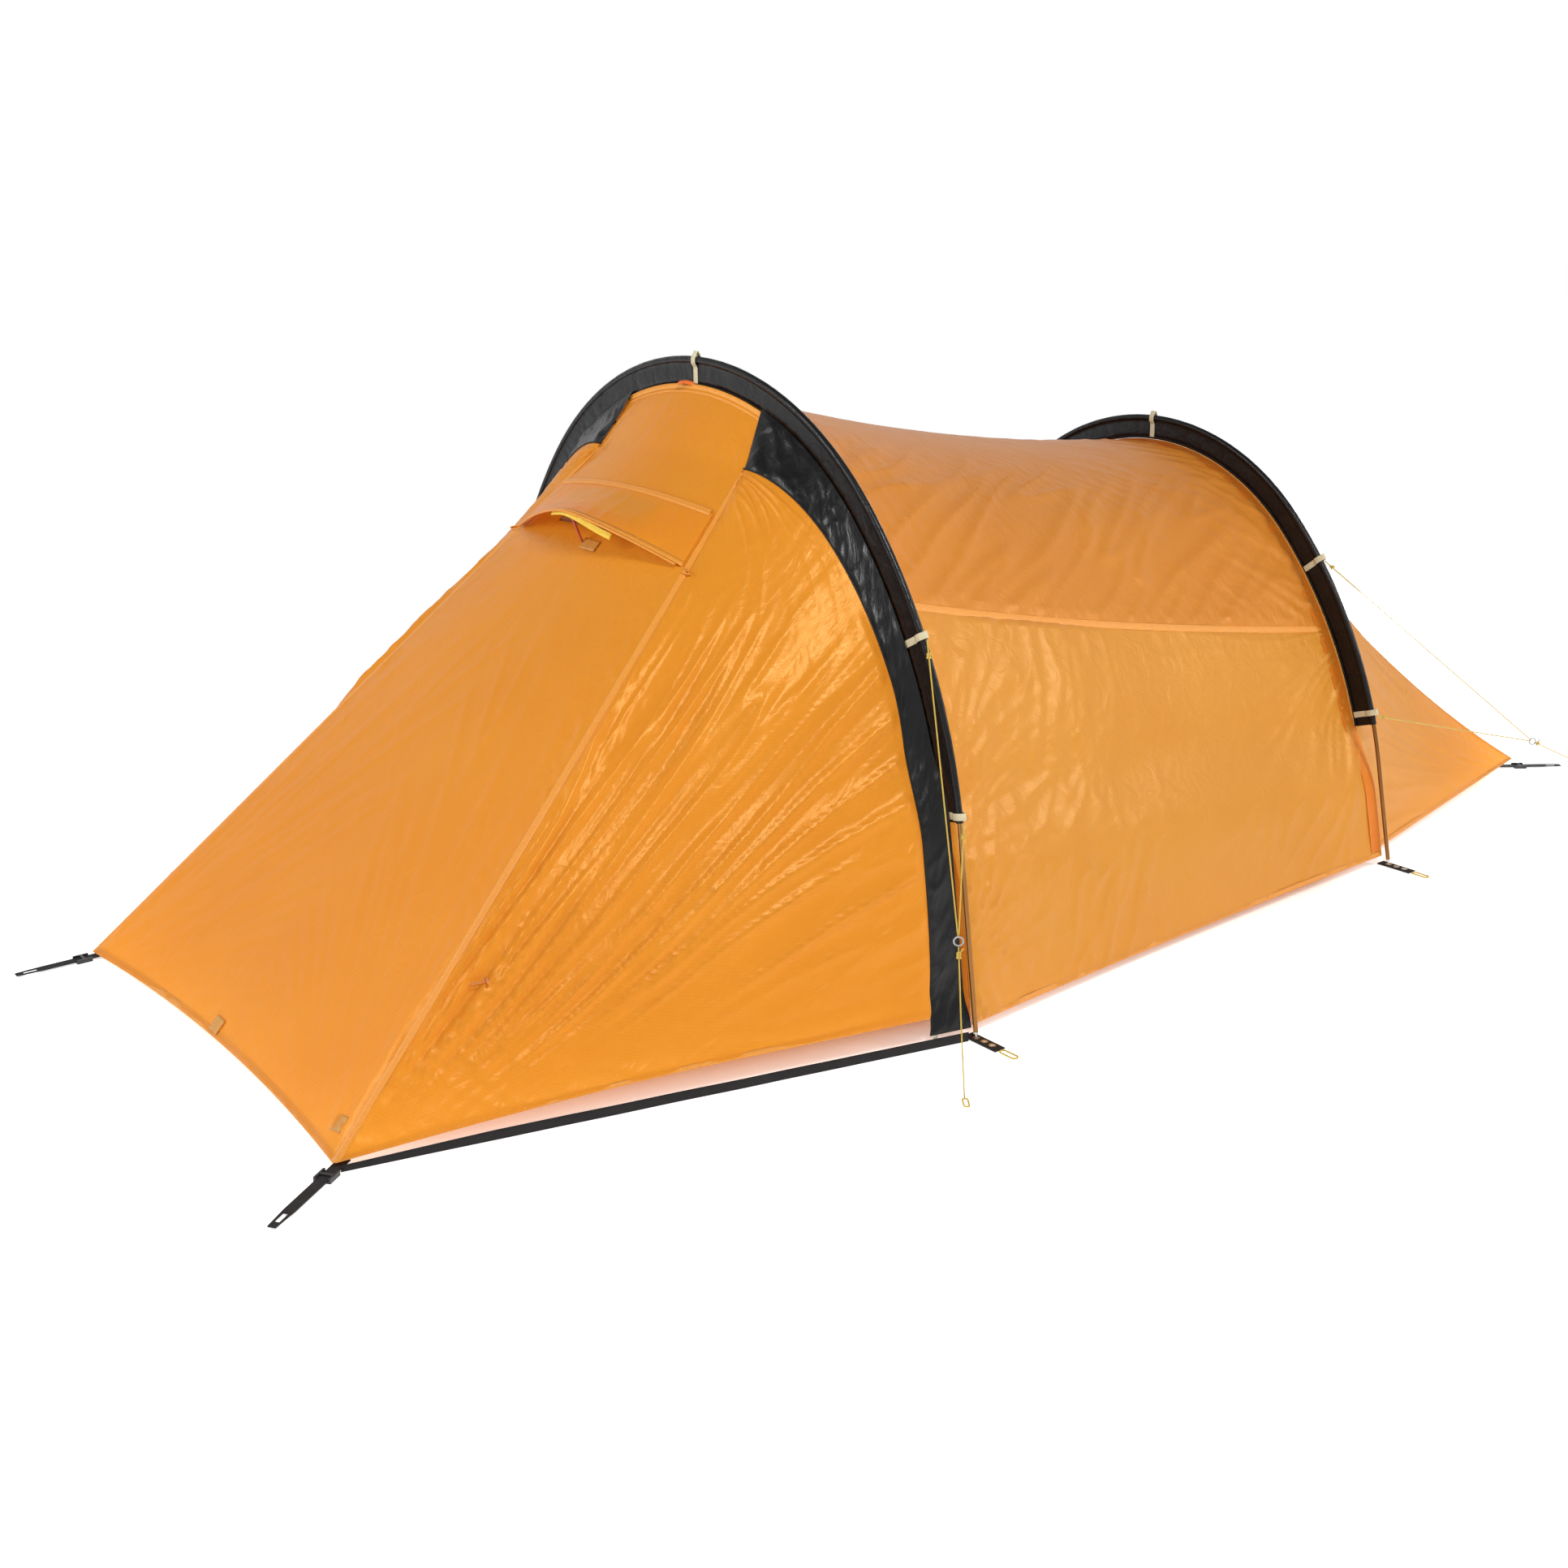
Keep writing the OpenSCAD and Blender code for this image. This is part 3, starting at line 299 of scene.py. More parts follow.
fly_mat = fly_cloth("fly_ripstop", ORANGE, ORANGE_DEEP, 0.42)
lit_body_mat = fly_cloth("body_ripstop_painted_light", BODY_LIT, BODY_LIT_DEEP, 0.42)
# The roof's copy of the fly cloth is darker: painted shade, because the roof gets less light.
shaded_roof_mat = fly_cloth("roof_ripstop_painted_shade", (0.79, 0.325, 0.044, 1), (0.74, 0.275, 0.032, 1), 0.42)
# The tail's copy of the fly cloth is brighter and yellower: painted light, for the tail lit through from
# behind.
backlit_tail_mat = fly_cloth("tail_ripstop_painted_backlight", (0.92, 0.45, 0.06, 1), (0.88, 0.40, 0.045, 1), 0.5)
# The facing's copy of the fly cloth is deeper and darker: painted shade in the recess by the rear sleeve.
shaded_facing_mat = fly_cloth("facing_ripstop_painted_shade", (0.80, 0.25, 0.022, 1), (0.72, 0.20, 0.016, 1), 0.3)
seam_mat = sewn_cloth("sewn_seam", SEAM, (0.9, 0.42, 0.08, 1), 0.004, through=0.2)
patch_mat = sewn_cloth(
    "reinforcement", (0.62, 0.27, 0.04, 1), (0.85, 0.45, 0.12, 1), 0.010, through=0.1
)
yellow_tape = webbing("yellow_tape", (0.80, 0.50, 0.03, 1), (0.95, 0.75, 0.15, 1), roughness=0.5)
red_tape = webbing("red_tape", (0.72, 0.13, 0.02, 1), (0.85, 0.25, 0.06, 1))
black_cloth = fly_cloth(
    "black_satin", BLACK, (0.003, 0.003, 0.0035, 1), 0.0, bump=0.7, shine=0.30, tint=WHITE
)
black_seam = sewn_cloth(
    "black_binding", (0.006, 0.006, 0.006, 1), (0.03, 0.03, 0.03, 1), 0.0, roughness=0.6, shine=0.3
)
yellow_cloth = fly_cloth("yellow_lining", (0.9, 0.62, 0.12, 1), (0.85, 0.52, 0.08, 1), 0.4)
inner_cloth = fly_cloth(
    "inner_nylon", (0.86, 0.80, 0.66, 1), (0.80, 0.72, 0.58, 1), 0.5, bump=0.3, tint=WHITE
)
floor_cloth = fly_cloth("floor_nylon", (0.45, 0.03, 0.02, 1), (0.36, 0.02, 0.015, 1), 0.0)
webbing_mat = webbing("black_webbing", (0.008, 0.007, 0.007, 1), (0.022, 0.018, 0.018, 1))
flat_webbing = webbing("black_webbing_flat", (0.008, 0.007, 0.007, 1), (0.03, 0.03, 0.03, 1), "Object")
grey_webbing = webbing("grey_webbing", (0.46, 0.41, 0.26, 1), (0.78, 0.72, 0.50, 1), roughness=0.45)
tab_mat = webbing("tab_webbing", (0.60, 0.56, 0.36, 1), (0.85, 0.80, 0.55, 1), "Object", roughness=0.45)
cord_mat = braid("yellow_braid", YELLOW, (0.35, 0.22, 0.03, 1))
cord_flat = braid("yellow_braid_loop", YELLOW, (0.35, 0.22, 0.03, 1), "Object")
elastic = braid("elastic_braid", (0.05, 0.05, 0.05, 1), (0.01, 0.01, 0.01, 1), "Object")
orange_cord = braid("orange_braid", (0.75, 0.28, 0.05, 1), (0.4, 0.12, 0.02, 1), "Object")
pole_mat = hard(
    "anodised_pole", (0.26, 0.12, 0.035, 1), (0.42, 0.24, 0.09, 1), 1.0, 0.3, stretch=(1, 1, 0.05)
)
steel = hard("plated_eyelet", (0.55, 0.54, 0.50, 1), (0.75, 0.74, 0.7, 1), 1.0, 0.28)
buckle_mat = hard("moulded_black", (0.015, 0.015, 0.016, 1), (0.05, 0.05, 0.05, 1), 0.0, 0.42, grain=900.0)
ring_mat = hard("moulded_grey", (0.30, 0.31, 0.31, 1), (0.42, 0.42, 0.42, 1), 0.0, 0.35, coat=0.2)
strut_mat = hard("moulded_red", (0.42, 0.05, 0.02, 1), (0.55, 0.12, 0.06, 1), 0.0, 0.4)
zip_mat = hard("zip_coil", (0.02, 0.02, 0.02, 1), (0.06, 0.06, 0.06, 1), 0.0, 0.45, grain=1200.0)
net_mat = net("inner_net", (0.20, 0.19, 0.18, 1))


# ---------- making meshes ----------
def add_mesh(name, points, faces, uvs, material, body):
    """uvs holds one pair for each point."""
    mesh = bpy.data.meshes.new(name)
    mesh.from_pydata([tuple(p) for p in points], [], faces)
    layer = mesh.uv_layers.new(name="UVMap")
    corner_points = np.empty(len(mesh.loops), dtype=np.int32)
    mesh.loops.foreach_get("vertex_index", corner_points)
    layer.data.foreach_set("uv", np.asarray(uvs, dtype=np.float32)[corner_points].ravel())
    mesh.shade_smooth()
    mesh.materials.append(material)
    made = bpy.data.objects.new(name, mesh)
    bpy.context.scene.collection.objects.link(made)
    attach(made, body)
    return made


def grid_faces(rows, cols, wrap=False, keep=None):
    faces = []
    for i in range(rows - 1):
        for j in range(cols if wrap else cols - 1):
            if keep is None or keep(i, j):
                k = (j + 1) % cols
                faces.append((i * cols + j, i * cols + k, (i + 1) * cols + k, (i + 1) * cols + j))
    return faces


def capped_faces(rows, cols):
    """Faces round a row of rings, with a face over each end."""
    faces = grid_faces(rows, cols, wrap=True)
    faces.append(tuple(range(cols))[::-1])
    faces.append(tuple(range((rows - 1) * cols, rows * cols)))
    return faces


def distances(grid, axis):
    """Distance travelled along one direction of a grid of points."""
    steps = np.linalg.norm(np.diff(grid, axis=axis), axis=2)
    zero = np.zeros_like(np.take(steps, [0], axis=axis))
    return np.concatenate([zero, np.cumsum(steps, axis=axis)], axis=axis)


def normals_of(grid, inside):
    """Unit normals of a grid, on the side that faces away from the point inside."""
    along = np.gradient(grid, axis=0)
    across = np.gradient(grid, axis=1)
    n = np.cross(along, across)
    n /= np.maximum(np.linalg.norm(n, axis=2, keepdims=True), 1e-9)
    middle = grid.reshape(-1, 3).mean(axis=0)
    flip = np.sign(np.einsum("ijk,ijk->", n, np.broadcast_to(middle - np.array(inside), n.shape)))
    return n * flip


def unit(v):
    return v / np.linalg.norm(v)


def travel(points):
    """Distance from the first point to each one, along the line through them."""
    lengths = [0.0]
    for a, b in zip(points, points[1:]):
        lengths.append(lengths[-1] + np.linalg.norm(b - a))
    return lengths


def heading(points, k):
    return unit(points[min(k + 1, len(points) - 1)] - points[max(k - 1, 0)])


def smooth(t):
    t = min(max(t, 0.0), 1.0)
    return t * t * (3 - 2 * t)


def lerp(a, b, t):
    return a + (b - a) * t


def ridge(x, y, seed):
    """Crisp folds, from 0 between them to 1 on a fold."""
    return max(0.0, 1 - 2.6 * abs(noise.noise(Vector((x, y, seed))))) ** 2


def folds(p, q, angle, spacing, length, seed):
    """Folds that run at an angle in degrees from the p direction."""
    a = math.radians(angle)
    along = p * math.cos(a) + q * math.sin(a)
    across = q * math.cos(a) - p * math.sin(a)
    across += spacing * 0.7 * noise.noise(Vector((along / length, across / spacing / 3, seed + 5)))
    return ridge(along / length, across / spacing, seed)


def fan(p, q, centre, spacing, length, seed):
    """Folds that spread out from a point. spacing is in radians."""
    dp = p - centre[0]
    dq = q - centre[1]
    reach = math.hypot(dp, dq)
    turn = math.atan2(dq, dp)
    turn += spacing * 0.7 * noise.noise(Vector((reach / length, turn / spacing / 3, seed + 5)))
    return ridge(reach / length, turn / spacing, seed)


def swell(p, q, size, seed):
    """Broad soft unevenness, from -1 to 1."""
    return noise.noise(Vector((p / size, q / size, seed)))


def cloth(
    name, point, rows, cols, material, replaces, wrinkle, inside, body="tent", keep=None
):
    """A sheet over the unit square. wrinkle(p, q, wide, long) is its height in millimetres at
    distances p along and q across it. Returns its grid without wrinkles, and the normals."""
    grid = np.array([
        [point(i / (rows - 1), j / (cols - 1)) for j in range(cols)] for i in range(rows)
    ])
    n = normals_of(grid, inside)
    down = distances(grid, 0)
    over = distances(grid, 1)
    height = np.zeros((rows, cols))
    for i in range(rows):
        for j in range(cols):
            height[i, j] = wrinkle(down[i, j], over[i, j], over[i, -1], down[-1, j])
    final = grid + n * height[:, :, None] / 1000
    uvs = np.stack([down, over], axis=2).reshape(-1, 2)
    faces = grid_faces(rows, cols, keep=keep)
    made = add_mesh(name, final.reshape(-1, 3), faces, uvs, material, body)
    if replaces:
        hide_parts(*replaces)
    declare_sheet(grid, keep)
    return grid, n


def declare_sheet(grid, keep):
    """Works out the area of each cell of the sheet, zeroing the cells that keep drops; the areas are not
    used further.
    """
    a = grid[:-1, :-1]
    b = grid[1:, :-1]
    c = grid[1:, 1:]
    d = grid[:-1, 1:]
    first = np.linalg.norm(np.cross(b - a, c - a), axis=2)
    second = np.linalg.norm(np.cross(c - a, d - a), axis=2)
    cells = (first + second) / 2
    if keep:
        rows, cols = cells.shape
        cells = cells * np.array([[keep(i, j) for j in range(cols)] for i in range(rows)])


def strip(name, left, right, lift=0.0008, rise=0.0009):
    """A flat-felled seam over two edges. left and right are lists of (points, normal), each with
    the points on that side from the outer edge of the seam to its middle."""
    rows = []
    uvs = []
    along = travel([a[-1] for a, _ in left])
    for travelled, (a, na), (b, nb) in zip(along, left, right):
        ring = [a[0]]
        ring += [p + na * (lift + rise * bulge) for p, bulge in zip(a, (0.3, 0.8, 1.0))]
        ring += [p + nb * (lift + rise * bulge) for p, bulge in zip(b[::-1], (1.0, 0.8, 0.3))]
        ring += [b[0]]
        wobble = 0.0004 * noise.noise(Vector((travelled / 0.012, 0.0, 3.1)))
        rows.append([p + na * wobble for p in ring])
        uvs += [(travelled, v) for v in (-0.0075, -0.007, -0.004, -0.001, 0.001, 0.004, 0.007, 0.0075)]
    points = np.array(rows)
    faces = grid_faces(points.shape[0], points.shape[1])
    add_mesh(name, points.reshape(-1, 3), faces, uvs, seam_mat, "tent")


def edge_rows(grid, normal, side):
    """For strip: points in from one edge of a grid, to half the seam's width.
    side is 0 for the first column, -1 for the last."""
    step = 1 if side == 0 else -1
    rows = []
    for i in range(grid.shape[0]):
        edge = grid[i, side]
        inward = unit(grid[i, side + step * 2] - edge)
        rows.append(([edge + inward * d for d in (SEAM_HALF, SEAM_HALF * 0.55, -0.0005)], normal[i, side]))
    return rows


def spread_over(rows, count):
    """For strip: as many of these rows as the other edge has, evenly spread."""
    return [rows[round(k * (len(rows) - 1) / (count - 1))] for k in range(count)]


def hem(name, grid, normals, material=seam_mat, body="tent", width=0.011):
    """A turned and stitched hem along the last row of a grid: a thin closed fold."""
    thick = 0.0012
    outline = [
        (0, thick * 0.4), (-0.0005, 0), (0, -thick * 0.4), (width, -thick * 0.4), (width, thick * 0.5),
    ]
    rows = []
    uvs = []
    along = travel(grid[-1])
    for travelled, edge, further_in, n in zip(along, grid[-1], grid[-4], normals[-1]):
        inward = unit(further_in - edge)
        wobble = 0.0005 * noise.noise(Vector((travelled / 0.02, 1.0, 9.0)))
        rows.append([edge + inward * a + n * (b + wobble) for a, b in outline])
        uvs += [(travelled, a - width / 2) for a, _ in outline]
    points = np.array(rows)
    faces = grid_faces(points.shape[0], points.shape[1], wrap=True)
    add_mesh(name, points.reshape(-1, 3), faces, uvs, material, body)


def resample(points, step):
    """Points at even steps along a polyline."""
    points = [np.array(p, dtype=float) for p in points]
    lengths = travel(points)
    count = max(2, int(round(lengths[-1] / step)) + 1)
    where = np.linspace(0, lengths[-1], count)
    return [np.array([np.interp(w, lengths, [p[k] for p in points]) for k in range(3)]) for w in where]


def tube(name, points, radius, material, body="tent", sides=10):
    """A round cord along points, with closed ends. Its UVs are in metres."""
    side = unit(np.cross(heading(points, 0), [0.31, 0.27, 0.91]))
    verts = []
    uvs = []
    for k, (p, travelled) in enumerate(zip(points, travel(points))):
        ahead = heading(points, k)
        side = unit(side - ahead * np.dot(side, ahead))
        up = np.cross(ahead, side)
        for j in range(sides):
            a = 2 * math.pi * j / sides
            verts.append(p + radius * (math.cos(a) * side + math.sin(a) * up))
            uvs.append((travelled, a * radius))
    return add_mesh(name, verts, capped_faces(len(points), sides), uvs, material, body)


def tape(
    name, points, width_way, width, thick, material, body="tent", waves=0.0, step=0.008
):
    """Webbing along points. width_way is the direction of its width."""
    points = resample(points, step)
    w = unit(np.array(width_way, dtype=float))
    verts = []
    uvs = []
    outline = [
        (-0.5, -0.3), (-0.47, -0.5), (0.47, -0.5), (0.5, -0.3),
        (0.5, 0.3), (0.47, 0.5), (-0.47, 0.5), (-0.5, 0.3),
    ]
    for k, (p, travelled) in enumerate(zip(points, travel(points))):
        ahead = heading(points, k)
        out = unit(np.cross(ahead, w))
        across = unit(np.cross(out, ahead))
        shift = out * waves * noise.noise(Vector((travelled / 0.09, 0.4, 7.7)))
        for a, b in outline:
            verts.append(p + shift + across * a * width + out * b * thick)
            uvs.append((travelled, a * width))
    return add_mesh(name, verts, capped_faces(len(points), len(outline)), uvs, material, body)


def knot(name, at, along, size):
    """An overhand knot: a trefoil of cord drawn small."""
    along = unit(np.array(along, dtype=float))
    side = unit(np.cross(along, [0.2, 0.9, 0.3]))
    up = np.cross(along, side)
    points = []
    for k in range(49):
        t = 2 * math.pi * k / 48
        x = math.sin(t) + 2 * math.sin(2 * t)
        y = math.cos(t) - 2 * math.cos(2 * t)
        z = -math.sin(3 * t)
        points.append(np.array(at) + size * (x * side + z * up * 1.3 + y * along * 1.25) / 3)
    return tube(name, points, size * 0.36, cord_mat, sides=8)


def on_side(side, point):
    """A sheet's points as they are on the far side, or mirrored on the near side."""
    def placed(u, v):
        return point(u, v) * np.array([1, side, 1])
    return placed


# ---------- the two hoops ----------
class Hoop:
    """The line of a pole in the plane x: straight legs, shoulders and a crown."""

    def __init__(self, lean, leg, shoulder_r, shoulder_deg, crown_r, x):
        self.lean = math.radians(lean)
        self.leg = leg
        self.shoulder_r = shoulder_r
        self.shoulder = math.radians(shoulder_deg)
        self.crown_r = crown_r
        self.x = x
        both = self.lean + self.shoulder
        self.foot_y = (
            leg * math.sin(self.lean) + shoulder_r * (math.cos(self.lean) - math.cos(both))
            + crown_r * math.cos(both)
        )
        self.shoulder_c = np.array([
            self.foot_y - leg * math.sin(self.lean) - shoulder_r * math.cos(self.lean),
            leg * math.cos(self.lean) - shoulder_r * math.sin(self.lean),
        ])
        self.crown_c = self.shoulder_c + (shoulder_r - crown_r) * np.array([math.cos(both), math.sin(both)])
        self.shoulder_end = leg + shoulder_r * self.shoulder
        self.half = self.shoulder_end + crown_r * (math.pi / 2 - both)
        self.length = 2 * self.half

    def angle(self, s):
        if s <= self.leg:
            return self.lean
        if s <= self.shoulder_end:
            return self.lean + (s - self.leg) / self.shoulder_r
        return self.lean + self.shoulder + (s - self.shoulder_end) / self.crown_r

    def point(self, s, inset=0.0, dx=0.0):
        """s runs over the whole hoop from the far foot; inset moves the point inward."""
        near = s > self.half
        if near:
            s = self.length - s
        t = self.angle(s)
        n = np.array([math.cos(t), math.sin(t)])
        if s <= self.leg:
            p = np.array([self.foot_y - s * math.sin(t), s * math.cos(t)]) - inset * n
        elif s <= self.shoulder_end:
            p = self.shoulder_c + (self.shoulder_r - inset) * n
        else:
            p = self.crown_c + (self.crown_r - inset) * n
        return np.array([self.x + dx, -p[0] if near else p[0], p[1]])


def middle_x(node):
    low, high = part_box(node)
    return (low[0] + high[0]) / 2


FRONT = Hoop(8.5, 0.375, 1.045, 33, 0.695, middle_x("front_pole"))
REAR = Hoop(12.7, 0.235, 1.110, 31, 0.595, middle_x("rear_pole"))
# The sleeve band's width, and how far inside the pole's line the fly runs
BAND = 0.050
INSET = 0.052
# The fly stops this far short of a hoop's plane, and of a seam's line
PLANE_GAP = 0.004
SEAM_GAP = 0.0025
# Distances along a hoop from its foot: the fly's hem, and the guy loops
HEM_S = 0.024
LOOP_W = 0.014
FRONT_LOOPS = (0.405, 0.728)
REAR_LOOPS = (0.345, 0.712)


# ---------- guylines ----------
FRONT_RING = np.array([-0.670, -0.880, 0.235])
REAR_RING = np.array([1.545, -0.665, 0.135])
FRONT_TAIL = np.array([[-0.674, -0.885, 0.224], [-0.710, -0.933, 0.114], [-0.745, -0.982, 0.005]])
REAR_TAIL = np.array([[1.556, -0.666, 0.130], [1.700, -0.673, 0.069], [1.850, -0.680, 0.005]])
CORD_R = 0.0013


def cord_line(name, points):
    """A cord that takes the place of the CAD node of its name."""
    line = tube(name, points, CORD_R, cord_mat)
    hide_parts(name)
    return line


def declare_cord(points):
    float(travel(points)[-1])
    [tuple(p) for p in points]


def guyline(name, hoop, s, ring):
    """A line from a loop on the sleeve to the ring, with a knot below the loop."""
    top = hoop.point(hoop.length - s + 0.003, -0.011)
    bottom = ring + unit(top - ring) * 0.0090
    points = resample([top, bottom], 0.012)
    line = cord_line(name, points)
    along = unit(bottom - top)
    tied = knot(name + "_upper_knot", top + along * 0.028, along, 0.0042)
    declare_cord(points)


def guy_tail(name, route):
    """The line from the ring down to the peg, with a knot and its loose end at the ring."""
    along = unit(route[1] - route[0])
    points = resample([route[0] - along * 0.003, *route[1:]], 0.012)
    line = cord_line(name, points)
    tied = knot(name + "_knot", route[0] + along * 0.012, along, 0.0046)
    loose = [route[0] + along * 0.010 + k * np.array([0.006, -0.002, 0.008]) for k in (0.3, 0.8, 1.3)]
    loose_end = tube(name + "_loose_end", loose, CORD_R, cord_mat)
    declare_cord(points)


guyline("front_upper_guyline", FRONT, FRONT_LOOPS[1], FRONT_RING)
guyline("front_lower_guyline", FRONT, FRONT_LOOPS[0], FRONT_RING)
guyline("rear_upper_guyline", REAR, REAR_LOOPS[1], REAR_RING)
guyline("rear_lower_guyline", REAR, REAR_LOOPS[0], REAR_RING)
guy_tail("front_guy_tail", FRONT_TAIL)
guy_tail("rear_guy_tail", REAR_TAIL)


# ---------- fly between the hoops ----------
def leg_inset(hoop, s):
    """The fly comes out behind the bare leg below the sleeve."""
    from_foot = min(s, hoop.length - s)
    return lerp(0.013, INSET, smooth((from_foot - hoop.leg * 0.7) / 0.2))


def fly_point(t, f):
    """f runs along the hoops from the far foot, t from the front hoop to the rear one."""
    droop = lerp(0.012, 0.040, math.sin(math.pi * f)) * 4 * t * (1 - t)
    sa = f * FRONT.length
    sb = f * REAR.length
    a = FRONT.point(sa, leg_inset(FRONT, sa) + droop, PLANE_GAP)
    b = REAR.point(sb, leg_inset(REAR, sb) + droop, -PLANE_GAP)
    return lerp(a, b, t)


def seam_f(t):
    return lerp(0.262, 0.215, t)


def hem_f(t):
    return HEM_S / lerp(FRONT.length, REAR.length, t)


def roof_point(t, j):
    f0 = seam_f(t) + 0.0006
    return fly_point(t, lerp(f0, 1 - f0, j))


def side_fly_point(t, j):
    return fly_point(t, lerp(hem_f(t), seam_f(t) - 0.0006, j))


def edge_fade(d, size=0.02):
    return smooth(d / size)


def held(p, q, wide, long, sides=0.02, ends=0.02):
    """0 where a sheet is sewn along its edges, and 1 away from them."""
    across = edge_fade(q, sides) * edge_fade(wide - q, sides)
    return across * edge_fade(p, ends) * edge_fade(long - p, ends)


def roof_wrinkle(p, q, wide, long):
    off = abs(q - wide / 2)
    h = 5.0 * swell(p, q, 0.33, 1.0)
    h += 5.0 * folds(p, off, -32, 0.05, 0.4, 2.0) * smooth((off - 0.08) / 0.3)
    h += 3.5 * folds(p, q, 90, 0.05, 0.13, 3.0) * math.exp(-p / 0.12)
    h += 4.5 * folds(p, off, 38, 0.045, 0.30, 4.0) * math.exp(-(long - p) / 0.3)
    h += 2.5 * folds(p, q, 90, 0.02, 0.07, 5.0) * math.exp(-(wide / 2 - off) / 0.06)
    return h * held(p, q, wide, long, ends=0.03)


def fly_side_wrinkle(seed):
    def wrinkle(p, q, wide, long):
        ends = edge_fade(p, 0.02) * edge_fade(long - p, 0.02)
        h = 5.0 * swell(p, q, 0.3, seed)
        h += 6.0 * fan(p, q, (-0.12, wide * 0.42), 0.10, 0.28, seed + 1) * math.exp(-p / 0.25)
        h += 5.5 * fan(p, q, (-0.06, wide * 0.08), 0.13, 0.22, seed + 2) * math.exp(-p / 0.22)
        h += 4.0 * folds(p, q, 62, 0.05, 0.16, seed + 3) * math.exp(-((p - 0.40) / 0.2) ** 2)
        h += 5.0 * fan(p, q, (long + 0.1, wide), 0.09, 0.3, seed + 4) * math.exp(-(long - p) / 0.25)
        h += 2.0 * folds(p, q, 86, 0.022, 0.09, seed + 5) * math.exp(-(wide - q) / 0.06)
        h += 1.2 * folds(p, q, 88, 0.03, 0.09, seed + 6) * math.exp(-q / 0.05)
        return h * ends * edge_fade(q, 0.012) * edge_fade(wide - q, 0.015)
    return wrinkle


ROWS = 150
roof_grid, roof_n = cloth(
    "fly_roof_cloth", roof_point, ROWS, ROWS, shaded_roof_mat, ["fly_roof"], roof_wrinkle, INSIDE_FLY
)
for side, word in SIDES:
    grid, n = cloth(
        f"fly_{word}_side_cloth", on_side(side, side_fly_point), ROWS, ROWS * 2 // 3, lit_body_mat,
        [f"fly_{word}_side"], fly_side_wrinkle(11.0 if side == NEAR else 31.0), INSIDE_FLY,
    )
    roof_edge = edge_rows(roof_grid, roof_n, 0 if side == FAR else -1)
    strip(f"fly_{word}_side_seam", roof_edge, edge_rows(grid, n, -1))
    hem(f"fly_{word}_hem", grid.swapaxes(0, 1)[::-1], n.swapaxes(0, 1)[::-1])


def rear_facing_point(i, j):
    """The facing sewn on beside the rear sleeve, made darker with painted shade."""
    start = hem_f(1) * 1.6
    return fly_point(lerp(0.972, 0.9985, i), lerp(start, 1 - start, j))


def rear_facing_wrinkle(p, q, wide, long):
    return 1.6 + 0.6 * swell(p, q, 0.03, 27.0)


def leg_facing_point(i, j):
    """The facing behind a front leg, from the pole in to the storm flap."""
    return FRONT.point(lerp(0.034, 0.46, i), lerp(0.014, 0.066, j), 0.0035 + 0.0005 * j)


def leg_facing_wrinkle(p, q, wide, long):
    return 0.8 * folds(p, q, 20, 0.02, 0.2, 25.0) * edge_fade(q, 0.01)


cloth(
    "fly_rear_facing", rear_facing_point, 5, ROWS, shaded_facing_mat, [], rear_facing_wrinkle, INSIDE_FLY
)
for side, word in SIDES:
    cloth(
        f"fly_{word}_leg_facing", on_side(side, leg_facing_point), 50, 8, lit_body_mat, [],
        leg_facing_wrinkle, INSIDE_FLY,
    )


# ---------- vestibule ----------
FRONT_TOP_Y = 0.222
FRONT_TOP = np.array([
    FRONT.x - PLANE_GAP, FRONT_TOP_Y,
    FRONT.crown_c[1] + math.sqrt((FRONT.crown_r - INSET) ** 2 - FRONT_TOP_Y ** 2),
])
DOOR_TOP = np.array([FRONT.x - 0.072, 0.245, 0.956])
FRONT_CORNER = np.array([-1.676, 0.541, 0.014])
FRONT_ARCH = FRONT.crown_r - INSET - math.sqrt((FRONT.crown_r - INSET) ** 2 - FRONT_TOP_Y ** 2)
UPPER = np.linalg.norm(DOOR_TOP - FRONT_TOP)
DOOR_TOP_U = UPPER / (UPPER + np.linalg.norm(FRONT_CORNER - DOOR_TOP))
HOOD_TOP_U = DOOR_TOP_U + 0.074 * (1 - DOOR_TOP_U)
HOOD_BRIM_U = DOOR_TOP_U + 0.161 * (1 - DOOR_TOP_U)
FRONT_OUT = unit(np.array([-0.67, 0, 0.74]))


def front_seam(u):
    if u < DOOR_TOP_U:
        return lerp(FRONT_TOP, DOOR_TOP, u / DOOR_TOP_U)
    return lerp(DOOR_TOP, FRONT_CORNER, (u - DOOR_TOP_U) / (1 - DOOR_TOP_U))


def front_out_at(u):
    return unit(lerp(np.array([0, 0, 1.0]), FRONT_OUT, min(1.0, u / DOOR_TOP_U)))


def front_panel(u, w, lift=0.0):
    """w runs from -1 on the near side to 1 on the far side."""
    p = front_seam(u)
    y = p[1] - SEAM_GAP
    out = front_out_at(u)
    arch = FRONT_ARCH * (1 - u) ** 1.3
    hem_in = u ** 8 * (1 - w * w) * np.array([0.030, 0, 0.004])
    return np.array([p[0], w * y, p[2]]) + out * ((1 - w * w) * arch + lift) + hem_in


def hood_point(k, w, below=0.0):
    """k runs from the hood's top seam to its brim."""
    u = lerp(HOOD_TOP_U, HOOD_BRIM_U, k)
    peak = (1 - (w * w + 0.01) ** 0.62) / (1 - 0.01 ** 0.62)
    return front_panel(u, w * 0.97, 0.005 - below + peak * 0.072 * k ** 1.4)


def vestibule_point(i, j):
    return front_panel(lerp(0.004, 1, i), 1 - 2 * j)


def window(i, j):
    """False on the cells of the mesh window under the hood."""
    u = lerp(0.004, 1, (i + 0.5) / (VEST_ROWS - 1))
    w = 1 - 2 * (j + 0.5) / (VEST_COLS - 1)
    return not (HOOD_TOP_U + 0.012 < u < HOOD_BRIM_U - 0.012 and abs(w) < 0.5)


